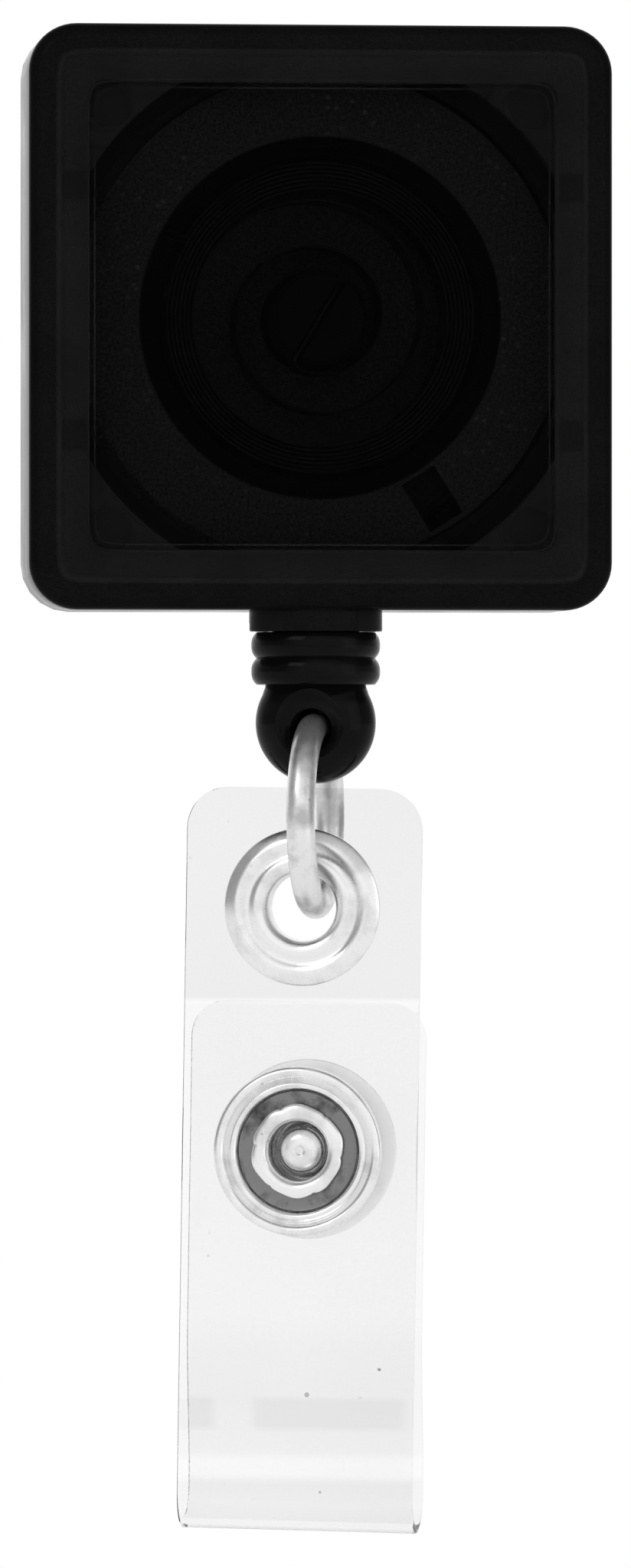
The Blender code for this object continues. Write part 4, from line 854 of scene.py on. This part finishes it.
def add_fitting(finish):
    body = upright(turned(fitting_profile(), 96))
    for vertex in body.verts:
        if vertex.co.y < RIBS_END - 1e-7:
            vertex.co.z *= BALL_T / (2 * BALL_R)
    fitting = to_object("fitting_moulding", body, HANG, finish)
    shelf = RIBS_TOP - KNOT_SHELF
    over = SPIGOT_TOP + MM
    under = EYE_AT + 0.5 * MM
    bore = upright(turned([(0, over), (CORD_BORE_R, over), (CORD_BORE_R, shelf),
                           (KNOT_BORE_R, shelf), (KNOT_BORE_R, under), (0, under)], 40))
    far = BALL_R + MM
    face = BALL_T / 2
    steps = [("DIFFERENCE", bore)]
    throat = [(0, -far), (EYE_R, -far), (EYE_R, -EYE_LAND - 0.2 * MM)]
    throat += [(THROAT_R + THROAT_FLARE * (step / 6) ** 2, EYE_LAND * step / 6) for step in range(-6, 7)]
    throat += [(EYE_R, EYE_LAND + 0.2 * MM), (EYE_R, far), (0, far)]
    steps.append(("DIFFERENCE", moved(turned(throat, 64), (0, LINK_AXIS, 0))))
    for way in (-1, 1):
        dish = [(0, way * (EYE_LAND + 0.05 * MM)), (EYE_R - 0.1 * MM, way * (EYE_LAND + 0.05 * MM)),
                (EYE_DISH_R, way * (face - 0.35 * MM)), (EYE_DISH_R + 0.5 * MM, way * far), (0, way * far)]
        steps.append(("DIFFERENCE", moved(turned(dish, 64), (0, EYE_AT, 0))))
    combine(fitting, steps, HANG)
    piece(fitting, "fitting", "black_plastic", "end_fitting")


def add_link(finish):
    """The round wire ring. Its butt joint shows as a fine groove at the back."""
    around, sides = 160, 24
    mesh = bmesh.new()
    rings = []
    for i in range(around):
        angle = 2 * math.pi * i / around
        wire = WIRE_R * (0.93 if i == LINK_JOINT else 1.0)
        ring = []
        for j in range(sides):
            turn = 2 * math.pi * j / sides
            radius = LINK_R + wire * math.cos(turn)
            ring.append(mesh.verts.new((wire * math.sin(turn), LINK_CENTRE + radius * math.sin(angle),
                                        radius * math.cos(angle))))
        rings.append(ring)
    for i in range(around):
        for j in range(sides):
            k = (j + 1) % sides
            following = rings[(i + 1) % around]
            mesh.faces.new((rings[i][j], rings[i][k], following[k], following[j]))
    piece(to_object("link_ring", mesh, HANG, finish), "link", "bright_plate", "wire_link")


# Strap


def fold_point(angle):
    """(depth, height) on the fold's half circle."""
    return (FOLD_R - FOLD_R * math.cos(angle), FOLD_CENTRE - FOLD_R * math.sin(angle))


def flap_depth(height):
    """How far behind the front layer the rear one lies: it closes in above the fold."""
    rise = min(max((height - FOLD_CENTRE) / FLAP_RUN, 0.0), 1.0)
    ease = rise * rise * (3 - 2 * rise)
    return 2 * FOLD_R + (FLAP_DEPTH - 2 * FOLD_R) * ease


def end_half(distance, radius, width):
    """Half the width of a strip with rounded corners, at a distance from its end."""
    inside = max(radius - distance, 0.0)
    return width / 2 - radius + math.sqrt(radius**2 - inside**2)


def rounded_end(radius, steps=12):
    """Distances from a strip's end where its rounded corners need a row of points."""
    return [radius * (1 - math.cos(math.radians(90 * step / steps))) for step in range(steps + 1)]


def strip(path, half_widths, thickness, corner, across=10):
    """A strip with rounded edges along a path of (depth, height). Depth goes to the rear."""
    mesh = bmesh.new()
    rows = []
    half = thickness / 2
    # Extra rows of points beside the edges keep the flat faces shaded flat.
    spread = [1.0, 0.98] + [0.9 - 1.8 * k / across for k in range(across + 1)] + [-0.98, -1.0]
    for i, (depth, height) in enumerate(path):
        before = Vector(path[max(i - 1, 0)])
        after = Vector(path[min(i + 1, len(path) - 1)])
        along = (after - before).normalized()
        normal = Vector((-along.y, along.x))
        wide = half_widths[i]
        cut = 0.3 * corner
        section = [(share * (wide - corner), half) for share in spread]
        section += [(cut - wide, half - cut), (-wide, half - corner)]
        section += [(-wide, corner - half), (cut - wide, cut - half)]
        section += [(share * (wide - corner), -half) for share in reversed(spread)]
        section += [(wide - cut, cut - half), (wide, corner - half)]
        section += [(wide, half - corner), (wide - cut, half - cut)]
        rows.append([mesh.verts.new((x, height + t * normal.y, -(depth + t * normal.x))) for x, t in section])
    return skin(mesh, rows)


def add_strap(finish):
    """One strip: the front layer, the fold and the rear layer, with the grommet's and the snap's holes."""
    ends = rounded_end(STRAP_CORNER_R)
    path = [(0.0, STRAP_TOP - distance) for distance in ends]
    widths = [end_half(distance, STRAP_CORNER_R, STRAP_WIDTH) for distance in ends]
    straight = 40
    top = STRAP_TOP - STRAP_CORNER_R
    middle = [(0.0, top + (FOLD_CENTRE - top) * step / straight) for step in range(1, straight)]
    middle += [fold_point(math.pi * step / 28) for step in range(29)]
    rise = FLAP_TOP - FLAP_CORNER_R - FOLD_CENTRE
    for step in range(1, 37):
        height = FOLD_CENTRE + rise * step / 36
        middle.append((flap_depth(height), height))
    path += middle
    widths += [STRAP_WIDTH / 2] * len(middle)
    for distance in rounded_end(FLAP_CORNER_R)[::-1][1:]:
        path.append((FLAP_DEPTH, FLAP_TOP - distance))
        widths.append(end_half(distance, FLAP_CORNER_R, STRAP_WIDTH))
    strap = to_object("vinyl_strap", strip(path, widths, STRAP_T, VINYL_EDGE_R), STRAP, finish, 40)
    holes = []
    for radius, height, layer in (
        (GROMMET_BORE_R + GROMMET_SHELL + SEAM_GAP, GROMMET_AT, 0),
        (SNAP_BORE_R + SNAP_SHELL + SEAM_GAP, SNAP_AT, 0),
        (CAP_POST_R + 0.3 * MM, SNAP_AT, -FLAP_DEPTH),
    ):
        holes.append(("DIFFERENCE", moved(disc(radius, layer - MM, layer + MM, 64), (0, height, 0))))
    combine(strap, holes, STRAP, 40)
    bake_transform(strap)
    piece(strap, None, "clear_vinyl", "strap_front", "strap_flap")


# Grommet and snap


def add_grommet(finish):
    face = STRAP_T / 2 + SHELL_GAP
    bore, outer = GROMMET_BORE_R, GROMMET_R
    barrel = bore + GROMMET_SHELL
    back = -face - 0.45 * MM
    profile = [(barrel, face)]
    profile += near(outer, face, (-0.10, 0), (0, 0.06), (-0.05, 0.16), (-0.35, 0.36), (-0.70, 0.56),
                    (-0.98, 0.50), (-1.22, 0.36), (-1.45, 0.36), (-1.72, 0.53))
    profile += near(bore, face, (0.42, 0.50), (0.12, 0.30), (0, -0.05))
    profile += near(bore, back, (0, 0), (0.12, -0.30), (0.45, -0.42), (0.85, -0.32), (0.95, -0.12), (0.80, 0))
    profile.append((barrel, back))
    mesh = moved(turned(softened(profile, True), 128), (0, GROMMET_AT, 0))
    piece(to_object("grommet_shell", mesh, STRAP, finish), "strap", "bright_plate", "grommet")


def petal(angle):
    """How far the clinched lip is split and bent at this angle, from 0 to 1."""
    split = abs(math.sin(3.0 * angle + 0.4)) ** 0.35
    return 0.55 * split + 0.25 * math.sin(2 * angle + 1.1) ** 2 + 0.20 * math.sin(5 * angle) ** 2


def paint_well_shade(obj, centre, outer, finish):
    """Gives the front faces within a radius of the snap's axis a dark second finish: painted shade in the
    ring's deep well.
    """
    obj.data.materials.append(finish)
    back = STRAP.inverted()
    for face in obj.data.polygons:
        spot = back @ face.center
        if math.hypot(spot.x, spot.y - centre) < outer and spot.z > STRAP_T / 2:
            face.material_index = 1


def snap_turned(name, profile, closed, steps, finish):
    mesh = moved(turned(softened(profile, closed), steps), (0, SNAP_AT, 0))
    return to_object(name, mesh, STRAP, finish)


def add_snap_ring(finish, well_shade, face, well):
    """The rolled ring on the strap's face: a rim, a groove, a crest and the well inside it, which carries
    painted shade.
    """
    barrel = SNAP_BORE_R + SNAP_SHELL + SHELL_GAP
    outer = SNAP_RING_R
    profile = [(barrel, face)]
    profile += near(outer, face, (-0.20, 0), (0, 0.14), (0, 0.50), (-0.12, 0.70), (-0.34, 0.77),
                    (-0.56, 0.64), (-0.68, 0.34), (-0.78, 0.40), (-0.95, 0.62), (-1.15, 0.60), (-1.32, 0.40))
    profile += [(outer - 1.42 * MM, well), (barrel, well)]
    rolled = snap_turned("snap_rolled_ring", profile, True, 128, finish)
    paint_well_shade(rolled, SNAP_AT, outer - 1.36 * MM, well_shade)
    piece(rolled, "strap", "bright_plate", "snap_ring")


def add_snap_socket(finish, face, clinch):
    """The socket behind the strap. Its barrel goes through and is split and bent over the ring."""
    bore = SNAP_BORE_R
    barrel = bore + SNAP_SHELL
    cup = -face - 1.45 * MM
    profile = [(bore + 0.13 * MM, cup), (SOCKET_CUP_R - 0.2 * MM, cup), (SOCKET_CUP_R, cup + 0.2 * MM)]
    profile += near(SOCKET_CUP_R, -face, (0, -0.45))
    profile += near(SOCKET_R, -face, (-0.12, -0.40), (0, -0.25), (-0.12, 0))
    profile.append((barrel, -face))
    profile += near(barrel, clinch, (0, 0), (0.50, 0.06), (0.58, 0.20), (0.42, 0.36), (0, 0.40))
    profile.append((bore, clinch + 0.12 * MM))
    profile += near(bore, -face, (0, -0.40), (0.90, -0.40), (0.90, -1.05), (0.13, -1.05))
    mesh = turned(softened(profile, True), 144)
    lip = barrel + 0.12 * MM
    for vertex in mesh.verts:
        radius = math.hypot(vertex.co.x, vertex.co.y)
        if vertex.co.z > clinch - 0.02 * MM and radius > lip:
            share = (radius - lip) / (0.46 * MM)
            lobe = petal(math.atan2(vertex.co.y, vertex.co.x))
            scale = 1 + share * (lobe - 0.55) * 0.26 * MM / radius
            vertex.co.x *= scale
            vertex.co.y *= scale
            vertex.co.z -= share * (1 - lobe) * 0.05 * MM
    socket = to_object("snap_clinched_socket", moved(mesh, (0, SNAP_AT, 0)), STRAP, finish)
    piece(socket, "strap", "bright_plate", "snap_socket")


def add_snap_stud(finish, dull):
    """The stud's head in the socket, and the domed cap whose post is clinched in it."""
    tip = -0.10 * MM
    base = -FLAP_DEPTH + STRAP_T / 2 + SHELL_GAP
    hollow = CAP_POST_R + SEAM_GAP
    stud = [(0, tip - 0.30 * MM), (hollow, tip - 0.30 * MM), (hollow, base)]
    stud += near(STUD_FLANGE_R, base, (0, 0), (0, 0.12))
    stud += near(STUD_NECK_R, base, (0.35, 0.20), (0, 0.45))
    stud += near(STUD_NECK_R, tip, (0, -1.10))
    stud += near(STUD_HEAD_R, tip, (0, -0.85), (0, -0.60), (-0.20, -0.22))
    stud += near(0, tip, (0.80, 0), (0.34, 0.06), (0.26, 0.02), (0.16, -0.05), (0, -0.02))
    turned_stud = snap_turned("snap_stud_turned", stud, False, 96, finish)
    piece(turned_stud, "flap", "bright_plate", "snap_stud")
    back = -FLAP_DEPTH - STRAP_T / 2 - SHELL_GAP
    cap = [(0, back - 0.80 * MM), (0.55 * CAP_R, back - 0.70 * MM)]
    cap += near(CAP_R, back, (-0.6, -0.45), (-0.1, -0.20), (0, -0.10), (-0.1, 0))
    cap += [(CAP_POST_R, back), (CAP_POST_R, tip - 0.50 * MM), (0.6 * CAP_POST_R, tip - 0.36 * MM),
            (0, tip - 0.35 * MM)]
    piece(snap_turned("snap_cap_domed", cap, False, 96, dull), "flap", "bright_plate", "snap_cap")


def add_snap(finish, dull, well_shade):
    face = STRAP_T / 2 + SHELL_GAP
    well = face + 0.26 * MM
    add_snap_ring(finish, well_shade, face, well)
    add_snap_socket(finish, face, well + SHELL_GAP)
    add_snap_stud(finish, dull)


# Clip


def add_clip(finish):
    """The whole clip as one bent strip, its corners rounded and its rivet dimple pressed in."""
    radius = (BELT_GAP + CLIP_T) / 2
    middle = BELT_GAP / 2
    corners = rounded_end(CLIP_CORNER_R)
    foot = CLIP_TOP - CLIP_LEG
    path = [(-CLIP_T / 2, foot + distance) for distance in corners]
    widths = [end_half(distance, CLIP_CORNER_R, CLIP_WIDTH) for distance in corners]
    start = foot + CLIP_CORNER_R
    straight = [(-CLIP_T / 2, start + (CLIP_TOP - start) * step / 30) for step in range(1, 30)]
    bend = [(middle - radius * math.cos(a), CLIP_TOP + radius * math.sin(a))
            for a in (math.pi * step / 24 for step in range(25))]
    depth = bend[-1][0]
    leg = [(depth, CLIP_TOP - 13.4 * MM * step / 14) for step in range(1, 15)]
    leg += [(depth - nearer * MM, CLIP_TOP - below * MM) for nearer, below in CLIP_BEND]
    tip = Vector((depth - CLIP_TIP[0] * MM, CLIP_TOP - CLIP_TIP[1] * MM))
    back = (Vector(leg[-1]) - tip).normalized()
    path += straight + bend + leg
    widths += [CLIP_WIDTH / 2] * (len(straight) + len(bend) + len(leg))
    for distance in corners[::-1]:
        path.append(tuple(tip + back * distance))
        widths.append(end_half(distance, CLIP_CORNER_R, CLIP_WIDTH))
    clip = to_object("clip_strip", strip(path, widths, CLIP_T, CLIP_EDGE_R, 6), CASE, finish, 40)
    floor = CLIP_T + 0.6 * MM
    pad = turned(near(0, 0, (0, 0.2), (3.7, 0.2)) + near(0, CLIP_T, (3.7, -0.05), (3.55, 0.1))
                 + near(0, floor, (3.2, -0.08), (3.0, 0), (0, 0)), 72)
    recess = turned(near(0, 0, (0, -1), (3.6, -1), (3.5, 0.05), (3.3, 0.2), (3.05, 0.5), (2.85, 0.6),
                         (0, 0.6)), 72)
    bore = disc(1.15 * MM, 0, floor + MM)
    hole = disc(2.2 * MM, -BELT_GAP - 3 * CLIP_T, -BELT_GAP + CLIP_T, 64)
    steps = [("UNION", pad), ("DIFFERENCE", recess), ("DIFFERENCE", bore), ("DIFFERENCE", hole)]
    combine(clip, steps, CASE, 40)
    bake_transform(clip)
    piece(clip, None, "clip_steel", "clip_base", "clip_tongue")


# CAD nodes that are shown as they are


def keep(node, finish, sharp=32):
    """Gives a CAD node its look, with its round faces shaded smooth."""
    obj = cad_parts[node]
    data = obj.data
    if "custom_normal" in data.attributes:
        data.attributes.remove(data.attributes["custom_normal"])
    data.materials.clear()
    data.materials.append(finish)
    data.polygons.foreach_set("use_smooth", [True] * len(data.polygons))
    weld = obj.modifiers.new("weld", "WELD")
    weld.merge_threshold = 1e-6
    split = obj.modifiers.new("split", "EDGE_SPLIT")
    split.split_angle = math.radians(sharp)


# Light, floor and camera


def add_floor(finish):
    mesh = bmesh.new()
    bmesh.ops.create_circle(mesh, cap_ends=True, segments=96, radius=6.0)
    floor = to_object("floor", mesh, Matrix.Translation((0, 0, -0.13)), finish)


def add_world():
    """A white studio. Mirror and diffuse rays see it bright in front and behind, and darker all round."""
    world = bpy.data.worlds.new("studio")
    bpy.context.scene.world = world
    world.use_nodes = True
    nodes = Nodes(world.node_tree)
    way = nodes.node("SeparateXYZ")
    nodes.feed(way.inputs[0], nodes.node("TexCoord").outputs["Generated"])
    fall = nodes.map_range(nodes.math("ABSOLUTE", way.outputs["Y"]), 0.30, 0.90, 0.30, 1.0)
    path = nodes.node("LightPath")
    lit = nodes.math("MAXIMUM", path.outputs["Is Glossy Ray"], path.outputs["Is Diffuse Ray"])
    lit = nodes.math("SUBTRACT", lit, path.outputs["Is Transmission Ray"], clamp=True)
    mix = nodes.node("Mix", data_type="FLOAT")
    for socket, value in zip((mix.inputs[0], mix.inputs[2], mix.inputs[3]), (lit, 1.0, fall)):
        nodes.feed(socket, value)
    back = nodes.tree.nodes["Background"]
    nodes.feed(back.inputs["Strength"], mix.outputs[0])
    back.inputs["Color"].default_value = (1.0, 1.0, 1.0, 1.0)


def add_light(name, place, size, power):
    data = bpy.data.lights.new(name, "AREA")
    data.shape = "RECTANGLE"
    data.size, data.size_y = size
    data.energy = power
    lamp = bpy.data.objects.new(name, data)
    lamp.location = place
    aim = Vector((0, 0, -0.02)) - Vector(place)
    lamp.rotation_euler = aim.to_track_quat("-Z", "Y").to_euler()
    bpy.context.scene.collection.objects.link(lamp)


def add_camera():
    target = Vector((0.0, -0.005, -0.01780))
    azimuth = math.radians(-5.3)
    distance = 0.55
    data = bpy.data.cameras.new("camera")
    data.lens = 231.5
    data.sensor_width = 36.0
    data.clip_start = 0.01
    data.clip_end = 50.0
    camera = bpy.data.objects.new("camera", data)
    camera.location = target + distance * Vector((math.sin(azimuth), -math.cos(azimuth), 0.0))
    camera.rotation_euler = (target - camera.location).to_track_quat("-Z", "Y").to_euler()
    bpy.context.scene.collection.objects.link(camera)
    bpy.context.scene.camera = camera


smoke = smoke_front()
rear = smoke_rear()
black = black_gloss()
bright = plated("look_bright_plate", 0.88, 0.70, 0.20, 0.34, 0.006 * MM)
wire = plated("look_wire_plate", 0.82, 0.50, 0.24, 0.44, 0.016 * MM, 0.90)
# Dark plating for the snap ring's well: painted shade.
well_shade = plated("look_well_painted_shade", 0.22, 0.03, 0.24, 0.50, 0.04 * MM)
dull = plated("look_dull_plate", 0.92, 0.78, 0.30, 0.45, 0.010 * MM, 0.30)
front_lit(dull)
steel = plated("look_clip_steel", 0.74, 0.60, 0.16, 0.32, 0.008 * MM)
braid = braided_cord()
add_front(smoke)
keep("rear_shell", rear)
add_spool(spool_plastic())
add_spring(spring_steel())
add_cord(braid)
add_fitting(black)
add_link(wire)
add_strap(clear_vinyl())
add_grommet(bright)
add_snap(bright, dull, well_shade)
add_clip(steel)
keep("clip_rivet", bright)
keep("cord_knot", braid, 60)
keep("cord_winding", braid)
keep("grommet_washer", dull)
keep("snap_spring", steel)
add_floor(floor_white())
add_world()
add_light("key", (-0.45, -0.45, 0.45), (0.35, 0.35), 0.7)
add_light("fill", (0.55, -0.35, 0.10), (0.30, 0.50), 0.3)
add_camera()
bpy.context.scene.view_settings.view_transform = "Standard"
